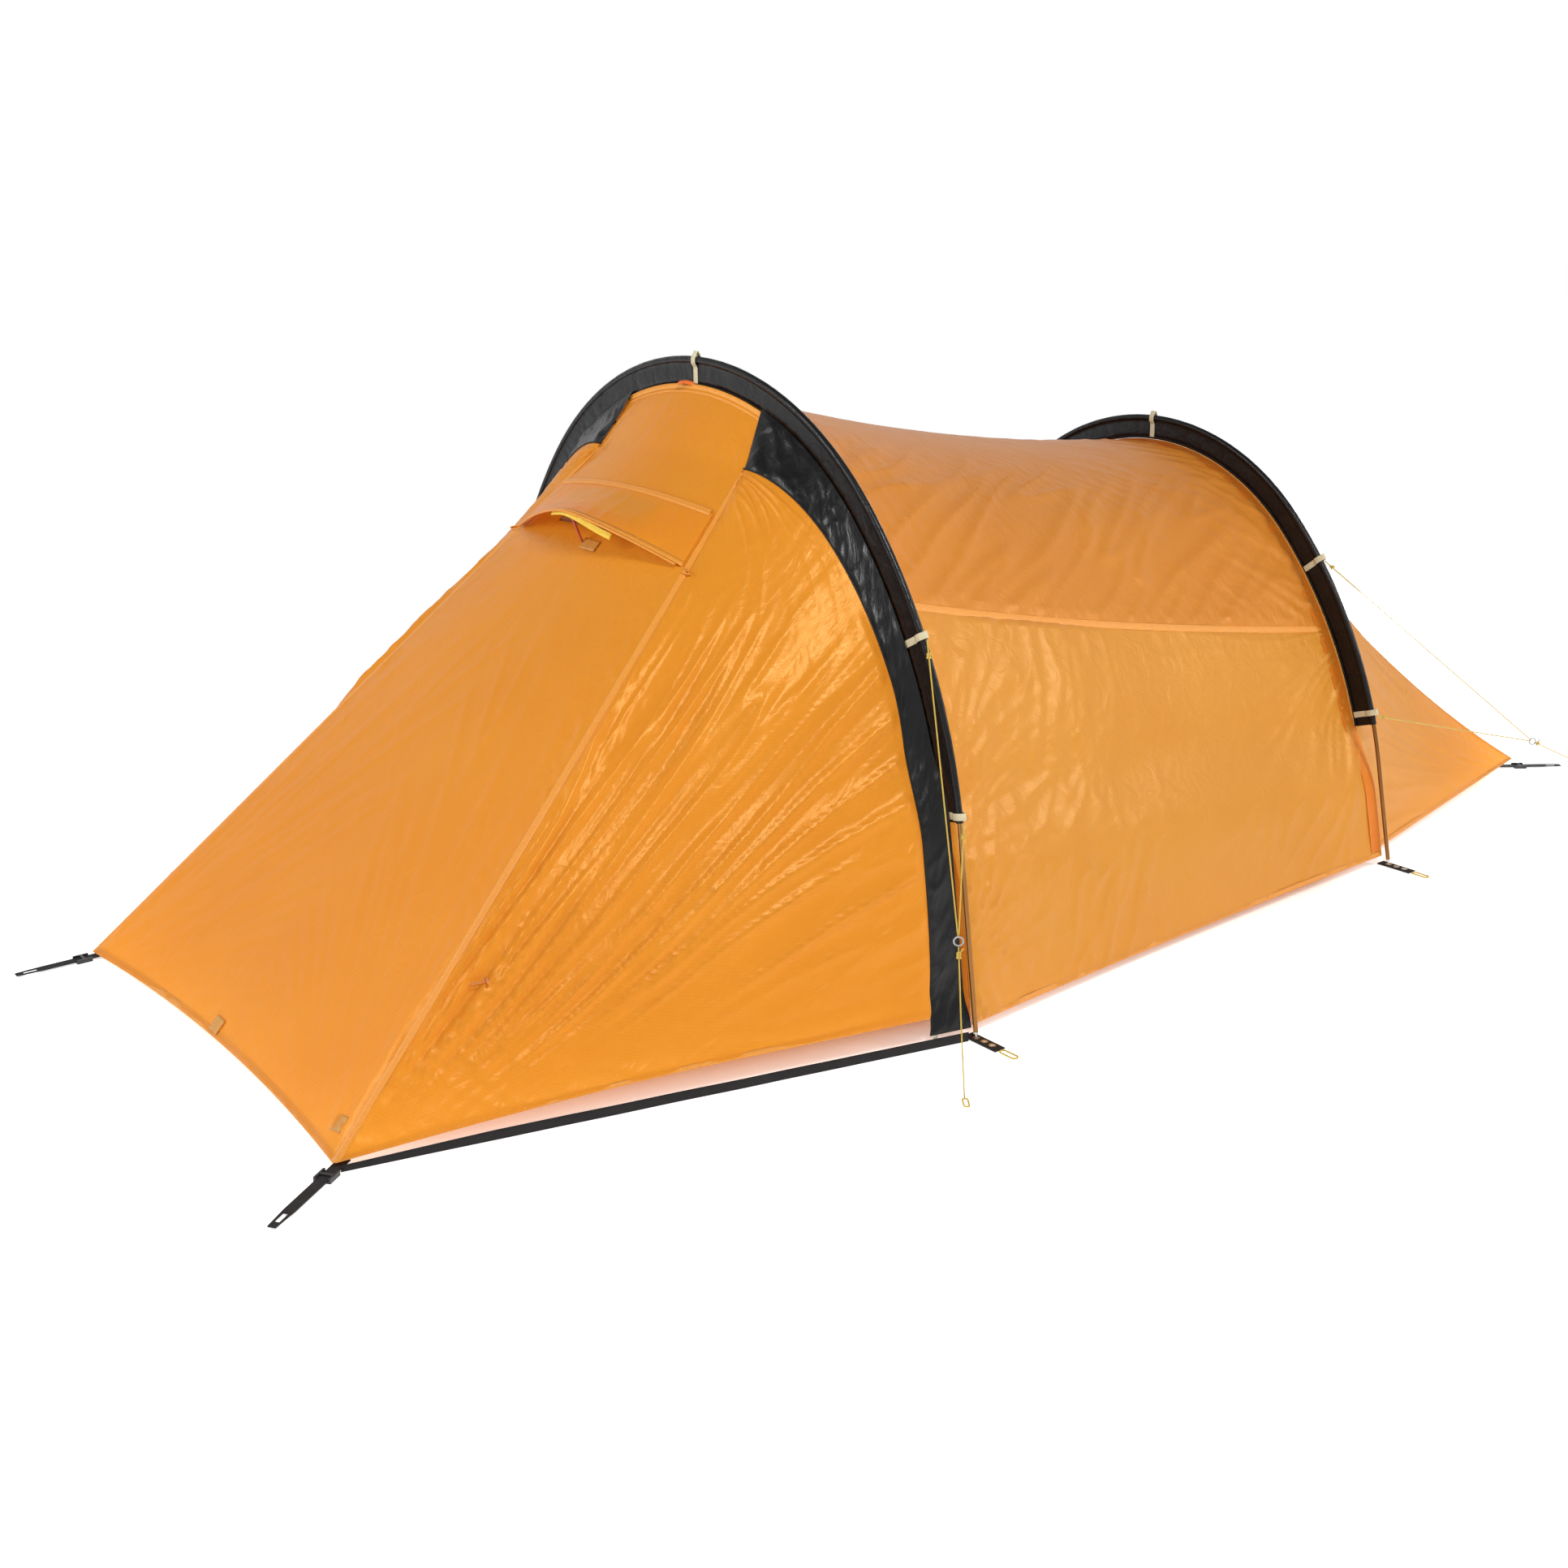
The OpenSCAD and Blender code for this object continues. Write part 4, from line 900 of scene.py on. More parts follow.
def vestibule_wrinkle(p, q, wide, long):
    off = abs(q - wide / 2)
    edge = wide / 2 - off
    h = 6.0 * swell(p, q, 0.4, 41.0)
    h += 1.8 * fan(p, off, (long + 0.1, wide / 2), 0.08, 0.5, 42.0) * smooth((p - 0.35) / 0.4)
    h += 3.0 * folds(p, off, 55, 0.03, 0.10, 43.0) * math.exp(-edge / 0.07)
    h += 1.6 * folds(p, q, 0, 0.03, 0.2, 44.0) * math.exp(-p / 0.12)
    h += 1.8 * folds(p, q, 90, 0.04, 0.2, 45.0) * math.exp(-(long - p) / 0.07)
    return h * edge_fade(edge, 0.015) * edge_fade(p, 0.03) * edge_fade(long - p, 0.012)


VEST_ROWS = ROWS
VEST_COLS = ROWS * 4 // 5
vest_grid, vest_n = cloth(
    "vestibule_cloth", vestibule_point, VEST_ROWS, VEST_COLS, fly_mat, ["vestibule_panel"],
    vestibule_wrinkle, INSIDE_VESTIBULE, keep=window,
)
hem("vestibule_hem", vest_grid, vest_n, width=0.014)


def across_rows(grid, normals, way, cols):
    """For strip: points along a seam at the top of a grid, down it or up from it."""
    rows = []
    for j in cols:
        down = unit(grid[2, j] - grid[0, j]) * way
        rows.append(([grid[0, j] + down * d for d in (SEAM_HALF, 0.004, 0.0)], normals[0, j]))
    return rows


# The seam that holds the panel under the front hoop's band
crown = []
for j in range(VEST_COLS):
    edge = vest_grid[0, j]
    out = unit(np.array([0, edge[1], edge[2] - FRONT.crown_c[1]]))
    steps = ((0.011, 0.0022), (0.004, 0.0015), (0, 0.0008))
    flange = [edge + out * d + np.array([x, 0, 0]) for d, x in steps]
    crown.append((flange, unit(np.array([-1.0, 0, 0.15]))))
below = across_rows(vest_grid, vest_n, 1, range(VEST_COLS))
strip("vestibule_crown_seam", crown, below, lift=0.0003, rise=0.0005)
tab_top = FRONT.point(FRONT.half - 0.004, 0.046, -0.003)
tab_line = [tab_top + np.array(d) for d in ((0, 0, 0), (-0.008, 0.018, 0.003), (-0.012, 0.036, 0.001))]
tape("crown_tab", tab_line, (1, 0.3, 0.5), 0.011, 0.0012, red_tape, step=0.004)
for name, u, w, size in (("near_corner_patch", 0.968, -0.93, 0.030), ("hem_patch", 0.985, 0.02, 0.034)):
    line = [front_panel(u + k * size / 1.5, w, 0.0045) for k in (-0.5, 0, 0.45)]
    way = front_panel(u, w + 0.01) - front_panel(u, w - 0.01)
    tape(name, line, way, size, 0.0010, patch_mat, step=0.006)


# ---------- doors and storm flaps ----------
def seam_line(u):
    return lerp(DOOR_TOP, FRONT_CORNER, u)


def hoop_line(u, out=0.0):
    s_top = FRONT.half - math.asin(FRONT_TOP_Y / FRONT.crown_r) * FRONT.crown_r
    s = lerp(s_top, HEM_S, u)
    inset = lerp(0.018, INSET, smooth((s - 0.36) / 0.2)) - 0.014 * (1 - smooth((s - HEM_S) / 0.07))
    return FRONT.point(s, inset - out, -PLANE_GAP - 0.002)


def side_len(u):
    return np.linalg.norm(hoop_line(u) - seam_line(u))


def flap_edge_v(u):
    """The flap is wide at the top, narrow at the shoulder, and wider again down the leg."""
    width = 0.033 + 0.085 * (1 - u) ** 5 + 0.022 * smooth((u - 0.5) / 0.25) + 0.030 * u ** 14
    return 1 - width / side_len(u)


def side_point(u, v, lift=0.0):
    p = lerp(seam_line(u), hoop_line(u), v)
    return p + np.array([0, 0, lift * u ** 14 * math.sin(math.pi / 2 * min(1, 1.6 * v))])


def door_point(i, j):
    u = lerp(0.008, 1, i)
    length = side_len(u)
    v = lerp(SEAM_GAP * 1.6 / length, max(flap_edge_v(u), 0.014 / length), j)
    return side_point(u, v, 0.034)


def flap_point(i, j):
    u = lerp(0.004, 1, i)
    length = side_len(u)
    low = max(flap_edge_v(u), 0.014 / length) + 0.001 / length
    over_band = 0.012 * smooth((0.74 - u) / 0.08) * j ** 2
    return side_point(u, lerp(low, 1, j)) + hoop_line(u, over_band) - hoop_line(u)


def door_wrinkle(seed):
    def wrinkle(p, q, wide, long):
        h = 7.0 * swell(p, q, 0.34, seed)
        ray = smooth((p - 0.25) / 0.25) * smooth((long - p) / 0.25)
        h += 11.0 * fan(p, q, (long + 0.18, -0.04), 0.085, 0.45, seed + 1) * ray
        h += 4.0 * fan(p, q, (long + 0.18, -0.04), 0.040, 0.30, seed + 2) * ray
        h += 3.0 * folds(p, q, 40, 0.035, 0.12, seed + 3) * math.exp(-q / 0.08)
        h += 4.5 * fan(p, q, (-0.05, wide), 0.10, 0.2, seed + 4) * math.exp(-p / 0.25)
        h += 3.5 * folds(p, q, 80, 0.05, 0.3, seed + 5) * math.exp(-(long - p) / 0.12)
        h += 3.0 * folds(p, q, -60, 0.035, 0.12, seed + 6) * math.exp(-(wide - q) / 0.10)
        sides = edge_fade(q, 0.02) * edge_fade(wide - q, 0.02)
        return h * sides * edge_fade(p, 0.03) * edge_fade(long - p, 0.012)
    return wrinkle


def flap_wrinkle(seed):
    def wrinkle(p, q, wide, long):
        h = 2.6 * folds(p, q, 55, 0.03, 0.09, seed) + 2.0 * folds(p, q, -40, 0.045, 0.12, seed + 1)
        h += 1.6 * swell(p, q, 0.08, seed + 2)
        return h * edge_fade(q, 0.008) * edge_fade(wide - q, 0.012) * edge_fade(p, 0.03)
    return wrinkle


first_door_row = next(
    i for i in range(VEST_ROWS) if lerp(0.004, 1, i / (VEST_ROWS - 1)) > DOOR_TOP_U
)
for side, word in SIDES:
    body = f"{word}_door"
    door_grid, door_n = cloth(
        f"{word}_door_cloth", on_side(side, door_point), ROWS, ROWS * 4 // 5, fly_mat, [body],
        door_wrinkle(51.0 if side == NEAR else 71.0), INSIDE_VESTIBULE, body,
    )
    flap_grid, flap_n = cloth(
        f"{word}_flap_cloth", on_side(side, flap_point), ROWS * 3 // 2, 18, black_cloth,
        [f"{word}_storm_flap"], flap_wrinkle(91.0 if side == NEAR else 95.0), INSIDE_VESTIBULE,
        body,
    )
    piping = [p + m * 0.0012 for p, m in zip(flap_grid[:, 0], flap_n[:, 0])]
    tube(f"{word}_flap_piping", piping, 0.0018, black_seam, body, sides=8)
    hem(f"{word}_flap_hem", flap_grid, flap_n, black_seam, body)
    hem(f"{word}_door_hem", door_grid, door_n, body=body)
    vest_edge = edge_rows(vest_grid, vest_n, 0 if side == FAR else -1)[first_door_row:]
    door_edge = spread_over(edge_rows(door_grid, door_n, 0), len(vest_edge))
    strip(f"{word}_vestibule_seam", vest_edge, door_edge)


# ---------- vent ----------
def hood_wrinkle(p, q, wide, long):
    off = abs(q - wide / 2)
    h = 1.6 * folds(p, off, 35, 0.045, 0.16, 101.0) + 1.2 * swell(p, q, 0.12, 102.0)
    return h * edge_fade(p, 0.02) * edge_fade(long - p, 0.02) * edge_fade(wide / 2 - off, 0.02)


def flat_wrinkle(seed, size=1.0):
    def wrinkle(p, q, wide, long):
        h = size * (1.2 * swell(p, q, 0.15, seed) + 0.8 * folds(p, q, 25, 0.05, 0.2, seed + 1))
        return h * held(p, q, wide, long)
    return wrinkle


HOOD_ROWS = ROWS // 3
HOOD_COLS = ROWS * 2 // 3
hood_grid, hood_n = cloth(
    "vent_hood_cloth", lambda i, j: hood_point(i, 1 - 2 * j), HOOD_ROWS, HOOD_COLS, fly_mat,
    ["vent_hood"], hood_wrinkle, INSIDE_VESTIBULE, "vent_hood",
)
brim = [p + unit(np.array([-0.74, 0, -0.67])) * 0.0035 for p in hood_grid[-1, 2:-2]]
brim_tube = tube("vent_brim_piping", brim, 0.0024, seam_mat, "vent_hood")
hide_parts("vent_brim_wire")
hem("vent_hood_binding", hood_grid, hood_n, body="vent_hood", width=0.010)
sewn = range(1, HOOD_COLS - 1)
strip(
    "vent_hood_seam", across_rows(hood_grid, hood_n, -1, sewn), across_rows(hood_grid, hood_n, 1, sewn)
)
cloth(
    "vent_lining_cloth", lambda i, j: hood_point(lerp(0.72, 0.98, i), 0.62 - 1.24 * j, 0.0035),
    24, 60, yellow_cloth, ["vent_lining"], flat_wrinkle(111.0, 0.3), INSIDE_VESTIBULE,
    "vent_hood",
)
cloth(
    "vent_mesh_net",
    lambda i, j: front_panel(
        lerp(HOOD_TOP_U + 0.010, HOOD_BRIM_U - 0.010, i), 0.51 - 1.02 * j, -0.001
    ),
    16, 40, net_mat, ["vent_mesh"], flat_wrinkle(115.0, 0.3), INSIDE_VESTIBULE,
)
for side, word in SIDES[::-1]:
    corner = front_panel(HOOD_BRIM_U + 0.004, side * 0.99, 0.002)
    down_seam = unit(front_seam(0.5) - front_seam(0.3)) * np.array([1, side, 1])
    out = unit(np.array([-0.1, side * 1.0, -0.1]))
    loop = [
        corner + out * 0.024 * math.sin(math.pi * t) + down_seam * 0.012 * (t - 0.5)
        for t in np.linspace(0, 1, 11)
    ]
    tape(f"hood_corner_loop_{word}", loop, FRONT_OUT, 0.005, 0.0012, seam_mat, step=0.003)
patch = [front_panel(HOOD_BRIM_U + k, -0.08, 0.0035) for k in (0.004, 0.012, 0.020)]
tape("vent_closing_patch", patch, (0.0, 1, 0.1), 0.046, 0.0014, patch_mat, step=0.005)
under_brim = [
    hood_point(1, w) + np.array([0.004, 0, -0.006 - 0.012 * smooth((0.1 - w) / 0.5)])
    for w in np.linspace(0.24, -0.42, 14)
]
tape(
    "vent_yellow_tape", under_brim, (-0.35, 0, -0.94), 0.012, 0.0010, yellow_tape, "vent_hood",
    waves=0.0006, step=0.006,
)
# A dark sheet just under the panel above the vent: a painted shadow, seen through the cloth.
cloth(
    "vent_painted_shadow_sheet",
    lambda i, j: front_panel(lerp(0.022, HOOD_TOP_U, i), 0.40 - 0.80 * j, -0.016),
    12, 24, patch_mat, [], flat_wrinkle(118.0, 0.3), INSIDE_VESTIBULE,
)


# ---------- tail ----------
REAR_TOP_Y = 0.205
REAR_TOP = np.array([
    REAR.x + PLANE_GAP, REAR_TOP_Y,
    REAR.crown_c[1] + math.sqrt((REAR.crown_r - INSET) ** 2 - REAR_TOP_Y ** 2),
])
REAR_CORNER = np.array([1.714, 0.523, 0.024])
REAR_ARCH = REAR.crown_r - INSET - math.sqrt((REAR.crown_r - INSET) ** 2 - REAR_TOP_Y ** 2)
REAR_OUT = unit(np.array([0.67, 0, 0.74]))


def rear_seam(u):
    return lerp(REAR_TOP, REAR_CORNER, u) - np.array([0, 0, 0.065 * 4 * u * (1 - u)])


def tail_point(i, j):
    u = lerp(0.004, 1, i)
    w = 2 * j - 1
    p = rear_seam(u)
    out = unit(lerp(np.array([0, 0, 1.0]), REAR_OUT, min(1.0, u * 8)))
    arch = REAR_ARCH * (1 - u) ** 1.3
    return np.array([p[0], w * (p[1] - SEAM_GAP), p[2]]) + out * (1 - w * w) * arch


def tail_side_point(i, j):
    u = lerp(0.045, 1, i)
    s_top = REAR.half - math.asin(REAR_TOP_Y / REAR.crown_r) * REAR.crown_r
    a = rear_seam(u)
    b = REAR.point(lerp(s_top, HEM_S, u), INSET, PLANE_GAP + 0.002)
    length = np.linalg.norm(b - a)
    return lerp(a, b, lerp(SEAM_GAP * 1.6 / length, 1 - 0.001 / length, j))


def tail_wrinkle(seed):
    def wrinkle(p, q, wide, long):
        h = 4.0 * swell(p, q, 0.3, seed) + 3.5 * fan(p, q, (long + 0.1, 0), 0.07, 0.4, seed + 1)
        h += 1.2 * folds(p, q, 50, 0.03, 0.1, seed + 2) * math.exp(-min(q, wide - q) / 0.05)
        return h * edge_fade(q) * edge_fade(wide - q) * edge_fade(p, 0.03) * edge_fade(long - p, 0.015)
    return wrinkle


tail_grid, tail_n = cloth(
    "tail_cloth", tail_point, ROWS, ROWS * 2 // 3, backlit_tail_mat, ["tail_panel"], tail_wrinkle(121.0),
    INSIDE_TAIL,
)
hem("tail_hem", tail_grid, tail_n, width=0.014)
for side, word in SIDES:
    grid, n = cloth(
        f"tail_{word}_cloth", on_side(side, tail_side_point), ROWS, ROWS // 2, backlit_tail_mat,
        [f"tail_{word}_side"], tail_wrinkle(131.0 if side == NEAR else 141.0), INSIDE_TAIL,
    )
    hem(f"tail_{word}_hem", grid, n)
    panel = edge_rows(tail_grid, tail_n, -1 if side == FAR else 0)[round(ROWS * 0.045):]
    strip(f"tail_{word}_seam", panel, spread_over(edge_rows(grid, n, 0), len(panel)))


# ---------- sleeves and their loops ----------
def sleeve(name, hoop, start, seed):
    """A tube of cloth round the pole, with a flat band sewn under it that gathers a little."""
    outline = [(-BAND, -0.0006), (-0.036, -0.0007), (-0.022, -0.0008), (-0.012, -0.0009)]
    for k in range(17):
        a = math.pi - math.radians(14) - k * (2 * math.pi - math.radians(28)) / 16
        outline.append((0.0066 * math.cos(a), -0.0066 * math.sin(a)))
    outline += [(-0.012, 0.0009), (-0.022, 0.0008), (-0.036, 0.0007), (-BAND, 0.0006)]
    count = int((hoop.length - 2 * start) / 0.006)
    verts = []
    uvs = []
    stations = [lerp(start, hoop.length - start, k / count) for k in range(count + 1)]
    for s in stations:
        out = unit(hoop.point(s, -0.01) - hoop.point(s, 0.0))
        centre = hoop.point(s)
        for m, (a, b) in enumerate(outline):
            flat = smooth((-a - 0.008) / 0.012) * smooth((BAND + a) / 0.008)
            shuffle = 0.4 * noise.noise(Vector((s / 0.05, a * 30, seed)))
            side_shift = 0.0016 * flat * (ridge(s / 0.028 + shuffle, a / 0.05, seed) - 0.3)
            ripple = 0.00035 * noise.noise(Vector((s / 0.014, m * 0.6, seed + 3)))
            verts.append(centre + out * (a + ripple) + np.array([b + side_shift, 0, 0]))
            uvs.append((s, a))
    faces = grid_faces(count + 1, len(outline), wrap=True)
    made = add_mesh(name + "_cloth", verts, faces, uvs, black_cloth, "tent")
    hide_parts(name)
    for word, shift in (("front", -0.0012), ("rear", 0.0012)):
        line = [hoop.point(s, 0.009, shift) for s in stations]
        tube(f"{name}_{word}_stitching", line, 0.0004, black_seam, sides=5)
        line = [hoop.point(s, BAND - 0.004, shift) for s in stations]
        tube(f"{name}_{word}_edge_binding", line, 0.0011, black_seam, sides=6)


for name, hoop, start, seed in (("front", FRONT, 0.400, 151.0), ("rear", REAR, 0.325, 161.0)):
    sleeve(f"{name}_pole_sleeve", hoop, start, seed)
    join = [hoop.point(s, BAND + 0.0016) for s in np.arange(start, hoop.length - start, 0.01)]
    tape(f"{name}_sleeve_join", join, (1, 0, 0), 0.0094, 0.0012, seam_mat, step=0.01)


def guy_loop(name, hoop, s):
    """Webbing sewn to both faces of the sleeve band, standing out past the pole as a loop."""
    out = unit(hoop.point(s, -0.01) - hoop.point(s, 0.0))
    ahead = unit(hoop.point(s + 0.005) - hoop.point(s - 0.005))
    outline = [
        (-0.046, 0.0018), (-0.030, 0.0018), (-0.014, 0.0022), (-0.007, 0.0078), (0.003, 0.0080),
        (0.010, 0.0045), (0.0162, 0.0010), (0.0168, 0.0),
    ]
    outline += [(a, -b) for a, b in outline[-2::-1]]
    points = [hoop.point(s) + out * a + np.array([b, 0, 0]) for a, b in outline]
    return tape(name, points, ahead, 0.013, 0.0011, grey_webbing, step=0.003)


for hoop_name, hoop, places in (("front", FRONT, FRONT_LOOPS), ("rear", REAR, REAR_LOOPS)):
    for k, s in enumerate(places):
        guy_loop(f"{hoop_name}_far_loop_{k}", hoop, s + LOOP_W / 2)
        guy_loop(f"{hoop_name}_near_loop_{k}", hoop, hoop.length - s - LOOP_W / 2)
    guy_loop(f"{hoop_name}_top_loop", hoop, hoop.half)
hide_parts("guy_loops")


# ---------- webbing on the ground ----------
for side, word in SIDES:
    a = np.array([-1.668, side * 0.549, 0.0])
    b = np.array([FRONT.x - 0.016, side * (FRONT.foot_y - 0.004), 0.0])
    length = np.linalg.norm(b - a)
    points = resample([a, b], 0.01)
    verts = []
    uvs = []
    across = unit(np.cross(b - a, [0, 0, 1]))
    for k, p in enumerate(points):
        t = k / (len(points) - 1)
        top = lerp(0.011, 0.0178, min(1.0, t * length / 0.25))
        sway = 0.0016 * math.sin(math.pi * t) * noise.noise(Vector((t * 9, 0.2, 4.0 + side)))
        for x, z in ((-1, 0.0004), (1, 0.0004), (1, top), (-1, top)):
            verts.append(p + across * (x * 0.0009 + sway) + np.array([0, 0, z]))
            uvs.append((t * length, z))
    faces = capped_faces(len(points), 4)
    strap = add_mesh(f"{word}_base_strap", verts, faces, uvs, webbing_mat, "tent")
    if side == FAR:
        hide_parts("base_straps")


# ---------- inner tent ----------
FLOOR_FRONT_X = FRONT.x + 0.060
FLOOR_REAR_X = REAR.x + 0.560
TUB_H = 0.100
INNER_INSET = 0.112
FLOOR_Y = [
    (FLOOR_FRONT_X, FRONT.foot_y - INNER_INSET - 0.014),
    (REAR.x, REAR.foot_y - INNER_INSET - 0.020),
    (FLOOR_REAR_X, 0.430),
]


def floor_edge(x):
    return float(np.interp(x, [p[0] for p in FLOOR_Y], [p[1] for p in FLOOR_Y]))


def floor_point(i, j):
    """The groundsheet: flat in the middle, with walls that stand up along both sides."""
    x = lerp(FLOOR_FRONT_X + 0.001, FLOOR_REAR_X - 0.001, i)
    half = floor_edge(x) - 0.001
    girth = 2 * half + 2 * TUB_H
    d = j * girth
    if d < TUB_H:
        return np.array([x, half, TUB_H - d + 0.001])
    if d > girth - TUB_H:
        return np.array([x, -half, d - girth + TUB_H + 0.001])
    return np.array([x, half + TUB_H - d, 0.001])


def tub_end(x):
    def place(i, j):
        half = floor_edge(x) - 0.001
        return np.array([x, lerp(half, -half, j), lerp(0.001, TUB_H, i)])
    return place


def inner_point(x, f):
    def arch(hoop):
        s0 = (TUB_H + 0.002 + INNER_INSET * math.sin(hoop.lean)) / math.cos(hoop.lean)
        p = hoop.point(lerp(s0, hoop.length - s0, f), INNER_INSET)
        return p[1:]
    low = TUB_H + 0.002
    tail_arch = np.array([0.430 * math.cos(math.pi * f), low + (0.225 - low) * math.sin(math.pi * f)])
    if x <= REAR.x:
        y, z = lerp(arch(FRONT), arch(REAR), (x - FRONT.x) / (REAR.x - FRONT.x))
    else:
        y, z = lerp(arch(REAR), tail_arch, (x - REAR.x) / (FLOOR_REAR_X - REAR.x))
    return np.array([x, y, z])


DOOR_HINGE_Y = -0.430
DOOR_FREE_Y = 0.400
DOOR_SILL = 0.130
DOOR_SIDE = 0.520
DOOR_RISE = 0.230


def door_top_z(y, grow=0.0):
    mid = (DOOR_HINGE_Y + DOOR_FREE_Y) / 2
    half = (DOOR_FREE_Y - DOOR_HINGE_Y) / 2 + grow
    return DOOR_SIDE + (DOOR_RISE + grow) * math.sqrt(max(0.0, 1 - ((y - mid) / half) ** 2))


def inner_door_point(i, j):
    y = lerp(DOOR_HINGE_Y, DOOR_FREE_Y, j)
    return np.array([FLOOR_FRONT_X + 0.001, y, lerp(DOOR_SILL, door_top_z(y), i)])


def front_wall_point(x, grow):
    """The end wall outside the door: from the door's edge out to the canopy, round the arch."""
    mid = (DOOR_HINGE_Y + DOOR_FREE_Y) / 2

    def place(i, j):
        edge = inner_point(x, j)
        middle = np.array([x, mid, 0.30])
        away = edge - middle
        low, high = 0.0, 1.0
        for _ in range(24):
            k = (low + high) / 2
            p = middle + away * k
            inside = abs(p[1] - mid) < (DOOR_FREE_Y - DOOR_HINGE_Y) / 2 + grow
            inside = inside and DOOR_SILL - grow < p[2] < door_top_z(p[1], grow)
            if inside:
                low = k
            else:
                high = k
        return lerp(middle + away * high, edge, i)
    return place


def inner_cloth_sheet(name, point, rows, cols, material, replaces, wrinkle):
    cloth(name, point, rows, cols, material, replaces, wrinkle, INSIDE_INNER)


cloth(
    "inner_floor_cloth", floor_point, ROWS, ROWS, floor_cloth, ["inner_floor"],
    flat_wrinkle(171.0, 0.4), ABOVE,
)
for word, x in (("front", FLOOR_FRONT_X), ("rear", FLOOR_REAR_X)):
    inner_cloth_sheet(
        f"inner_floor_{word}_wall", tub_end(x), 12, 60, floor_cloth, [], flat_wrinkle(175.0, 0.5),
    )
inner_cloth_sheet(
    "inner_canopy_cloth",
    lambda i, j: inner_point(lerp(FLOOR_FRONT_X + 0.003, FLOOR_REAR_X - 0.003, i), j),
    ROWS, ROWS, inner_cloth, ["inner_canopy"], flat_wrinkle(181.0, 2.0),
)
inner_cloth_sheet(
    "inner_front_wall_cloth", front_wall_point(FLOOR_FRONT_X + 0.001, 0.004), 24, ROWS,
    inner_cloth, ["inner_front_wall"], flat_wrinkle(185.0, 0.6),
)


def sill_point(i, j):
    """The strip of the end wall between the groundsheet and the door."""
    half = inner_point(FLOOR_FRONT_X, 0)[1]
    z = lerp(TUB_H + 0.002, DOOR_SILL - 0.004, i)
    return np.array([FLOOR_FRONT_X + 0.001, lerp(half, -half, j), z])


inner_cloth_sheet(
    "inner_sill_cloth", sill_point, 6, 60, inner_cloth, [], flat_wrinkle(187.0, 0.3)
)
inner_cloth_sheet(
    "inner_rear_wall_cloth",
    lambda i, j: lerp(
        np.array([FLOOR_REAR_X - 0.001, 0.430 * math.cos(math.pi * j), TUB_H + 0.002]),
        inner_point(FLOOR_REAR_X - 0.001, j), i,
    ),
    12, 60, inner_cloth, ["inner_rear_wall"], flat_wrinkle(189.0, 0.3),
)
net_grid, _ = cloth(
    "inner_door_net", inner_door_point, 50, 50, net_mat, ["inner_door"], flat_wrinkle(191.0, 0.8),
    INSIDE_INNER, "inner_door",
)
around = [*net_grid[:, 0], *net_grid[-1], *net_grid[::-1, -1], *net_grid[0, ::-1]]
tube("inner_door_binding", around[::2], 0.0022, elastic, "inner_door", sides=8)


# ---------- carried CAD nodes ----------
def both(*names):
    """The near and the far piece of each name."""
    return [f"{word}_{name}" for name in names for word in ("near", "far")]


FINISH = (
    (pole_mat, ["front_pole", "rear_pole", "front_pole_ferrules", "rear_pole_ferrules"]),
    (steel, ["pole_tips", "foot_eyelets", *both("zip_slider")]),
    (elastic, ["front_shock_cord", "rear_shock_cord", "inner_hangers"]),
    (zip_mat, both("door_zip")),
    (tab_mat, both("flap_tab")),
    (cord_flat, ["foot_peg_loops", "guy_peg_loops", *both("zip_pull")]),
    (orange_cord, both("door_toggle")),
    (strut_mat, ["vent_strut"]),
    (flat_webbing, ["foot_webbing", *both("front_strap", "rear_strap")]),
    (buckle_mat, ["corner_buckles"]),
    (ring_mat, ["front_guy_ring", "rear_guy_ring"]),
)
SOFTENED = [
    "corner_buckles", "foot_webbing", "foot_eyelets",
    *both("zip_slider", "front_strap", "rear_strap", "flap_tab"),
]
for material, nodes in FINISH:
    for node in nodes:
        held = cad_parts[node]
        held.data.materials.clear()
        held.data.materials.append(material)
for node in SOFTENED:
    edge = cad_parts[node].modifiers.new("edge", "BEVEL")
    edge.width = 0.0004
    edge.segments = 2
    edge.limit_method = "ANGLE"


# ---------- floor and light ----------
# The floor glows evenly white, but under the tent its glow is cut back as painted shade
add, finish = new_material("pale_floor")
place = add("ShaderNodeTexCoord").outputs["Object"]
cloudy = noise_node(add, place, 0.7, 2.0)
floor_tone = colour_mix(add, cloudy, (0.93, 0.93, 0.93, 1), (0.96, 0.96, 0.96, 1))
split = add("ShaderNodeSeparateXYZ", {0: place})
lengthways = math_node(add, "ABSOLUTE", split.outputs[0])
crossways = math_node(add, "ABSOLUTE", split.outputs[1])
past_hoop = math_node(add, "MAXIMUM", math_node(add, "SUBTRACT", lengthways, 0.57), 0.0)
half_width = math_node(add, "SUBTRACT", 0.82, math_node(add, "MULTIPLY", past_hoop, 0.25))
depth = math_node(add, "SUBTRACT", half_width, crossways)
covered = add("ShaderNodeMapRange", {"Value": depth, "From Min": -0.01, "From Max": 0.13}).outputs[0]
before_end = add("ShaderNodeMapRange", {
    "Value": lengthways, "From Min": 1.66, "From Max": 1.5,
}).outputs[0]
covered = math_node(add, "MULTIPLY", covered, before_end)
glow = math_node(add, "SUBTRACT", 0.62, math_node(add, "MULTIPLY", covered, 0.60))
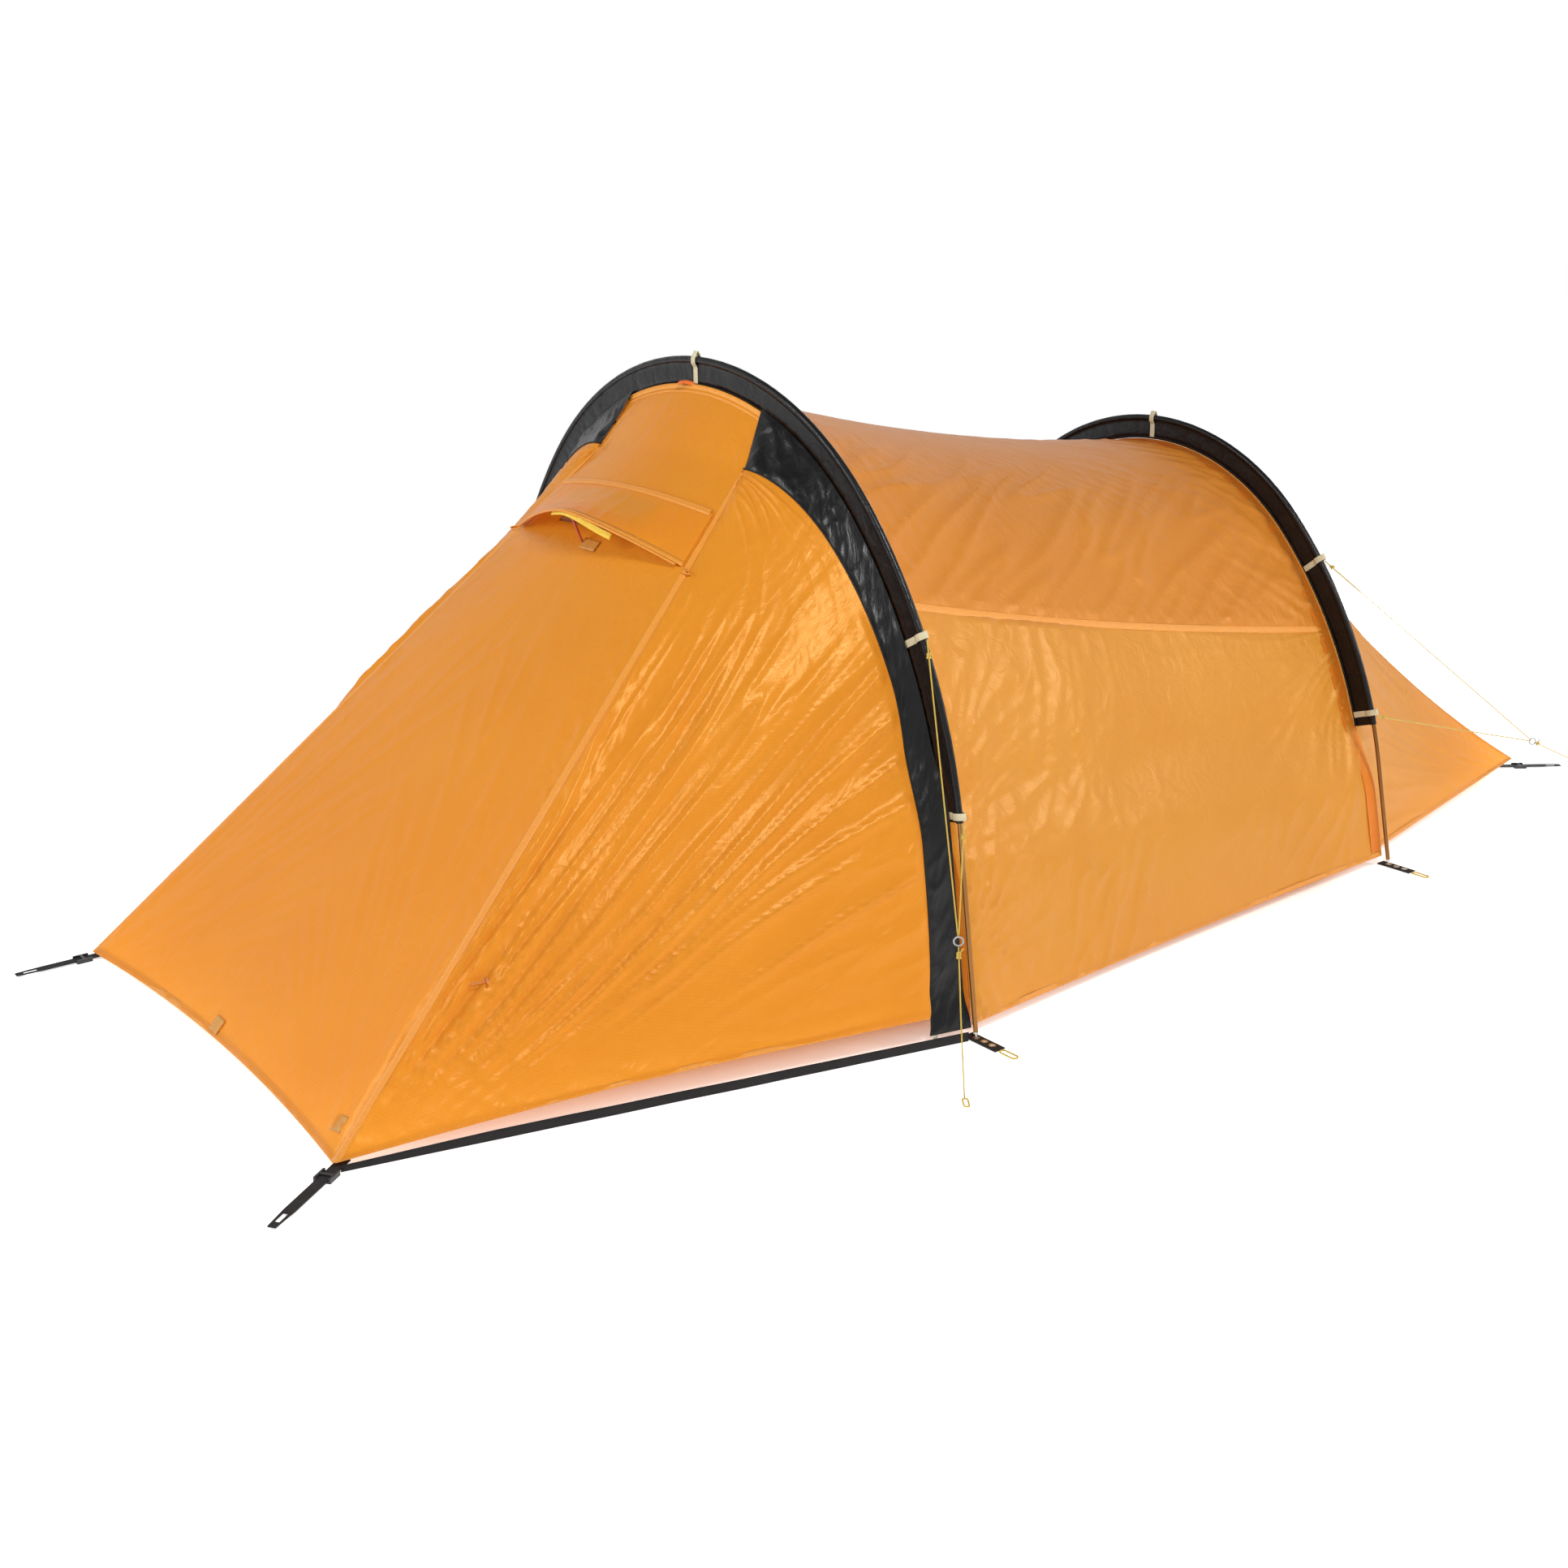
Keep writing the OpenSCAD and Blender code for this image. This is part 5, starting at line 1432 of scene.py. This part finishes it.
# Painted orange light on the floor under the tent, standing in for the light that comes through the cloth
orange_share = math_node(add, "MULTIPLY", covered, 0.4)
matte = add("ShaderNodeBsdfPrincipled", {
    "Base Color": colour_mix(add, orange_share, floor_tone, (0.95, 0.50, 0.16, 1)),
    "Roughness": 0.9, "Specular IOR Level": 0.1,
    "Emission Color": WHITE, "Emission Strength": glow,
})
bpy.ops.mesh.primitive_plane_add(size=80, location=(0, 0, -0.0005))
ground = bpy.context.object
ground.name = "ground"
ground.data.materials.append(finish(matte))
ground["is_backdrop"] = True

# The studio is brightest behind the tent and low down, and darker overhead
world = bpy.data.worlds.new("studio")
world.use_nodes = True
add = node_adder(world.node_tree)
split = add("ShaderNodeSeparateXYZ", {0: add("ShaderNodeTexCoord").outputs["Generated"]})
height = math_node(add, "MAXIMUM", split.outputs[2], 0.0)
behind = math_node(
    add, "MULTIPLY_ADD", split.outputs[0], 0.62, math_node(add, "MULTIPLY", split.outputs[1], 0.78)
)
back_wall = math_node(
    add, "MULTIPLY", math_node(add, "GREATER_THAN", behind, 0.45), math_node(add, "LESS_THAN", height, 0.5)
)
soft = math_node(add, "MULTIPLY_ADD", height, -0.60, 0.74)
bright = math_node(add, "MAXIMUM", soft, math_node(add, "MULTIPLY", back_wall, 1.08))
background = world.node_tree.nodes["Background"]
background.inputs["Color"].default_value = WHITE
world.node_tree.links.new(bright, background.inputs["Strength"])
bpy.context.scene.world = world


def soft_light(name, at, aim, size, power):
    data = bpy.data.lights.new(name, "AREA")
    data.shape = "RECTANGLE"
    data.size = size[0]
    data.size_y = size[1]
    data.energy = power
    lamp = bpy.data.objects.new(name, data)
    lamp.location = at
    lamp.rotation_euler = (Vector(aim) - Vector(at)).to_track_quat("-Z", "Y").to_euler()
    bpy.context.scene.collection.objects.link(lamp)


soft_light("door_light", (-1.5, -2.5, 3.4), (-1.0, -0.5, 0.4), (0.7, 0.7), 85)
soft_light("side_light", (2.3, -2.7, 2.1), (0.3, -0.7, 0.5), (0.7, 1.4), 50)
soft_light("front_light", (-3.8, 1.2, 2.4), (-1.1, 0, 0.4), (0.9, 1.6), 60)
soft_light("tail_light", (3.2, 1.2, 0.7), (1.4, -0.2, 0.3), (0.8, 0.8), 40)

boxes = {"cad": cad_box, "visual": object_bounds()}
{k: [list(map(float, c)) for c in v] for k, v in boxes.items()}
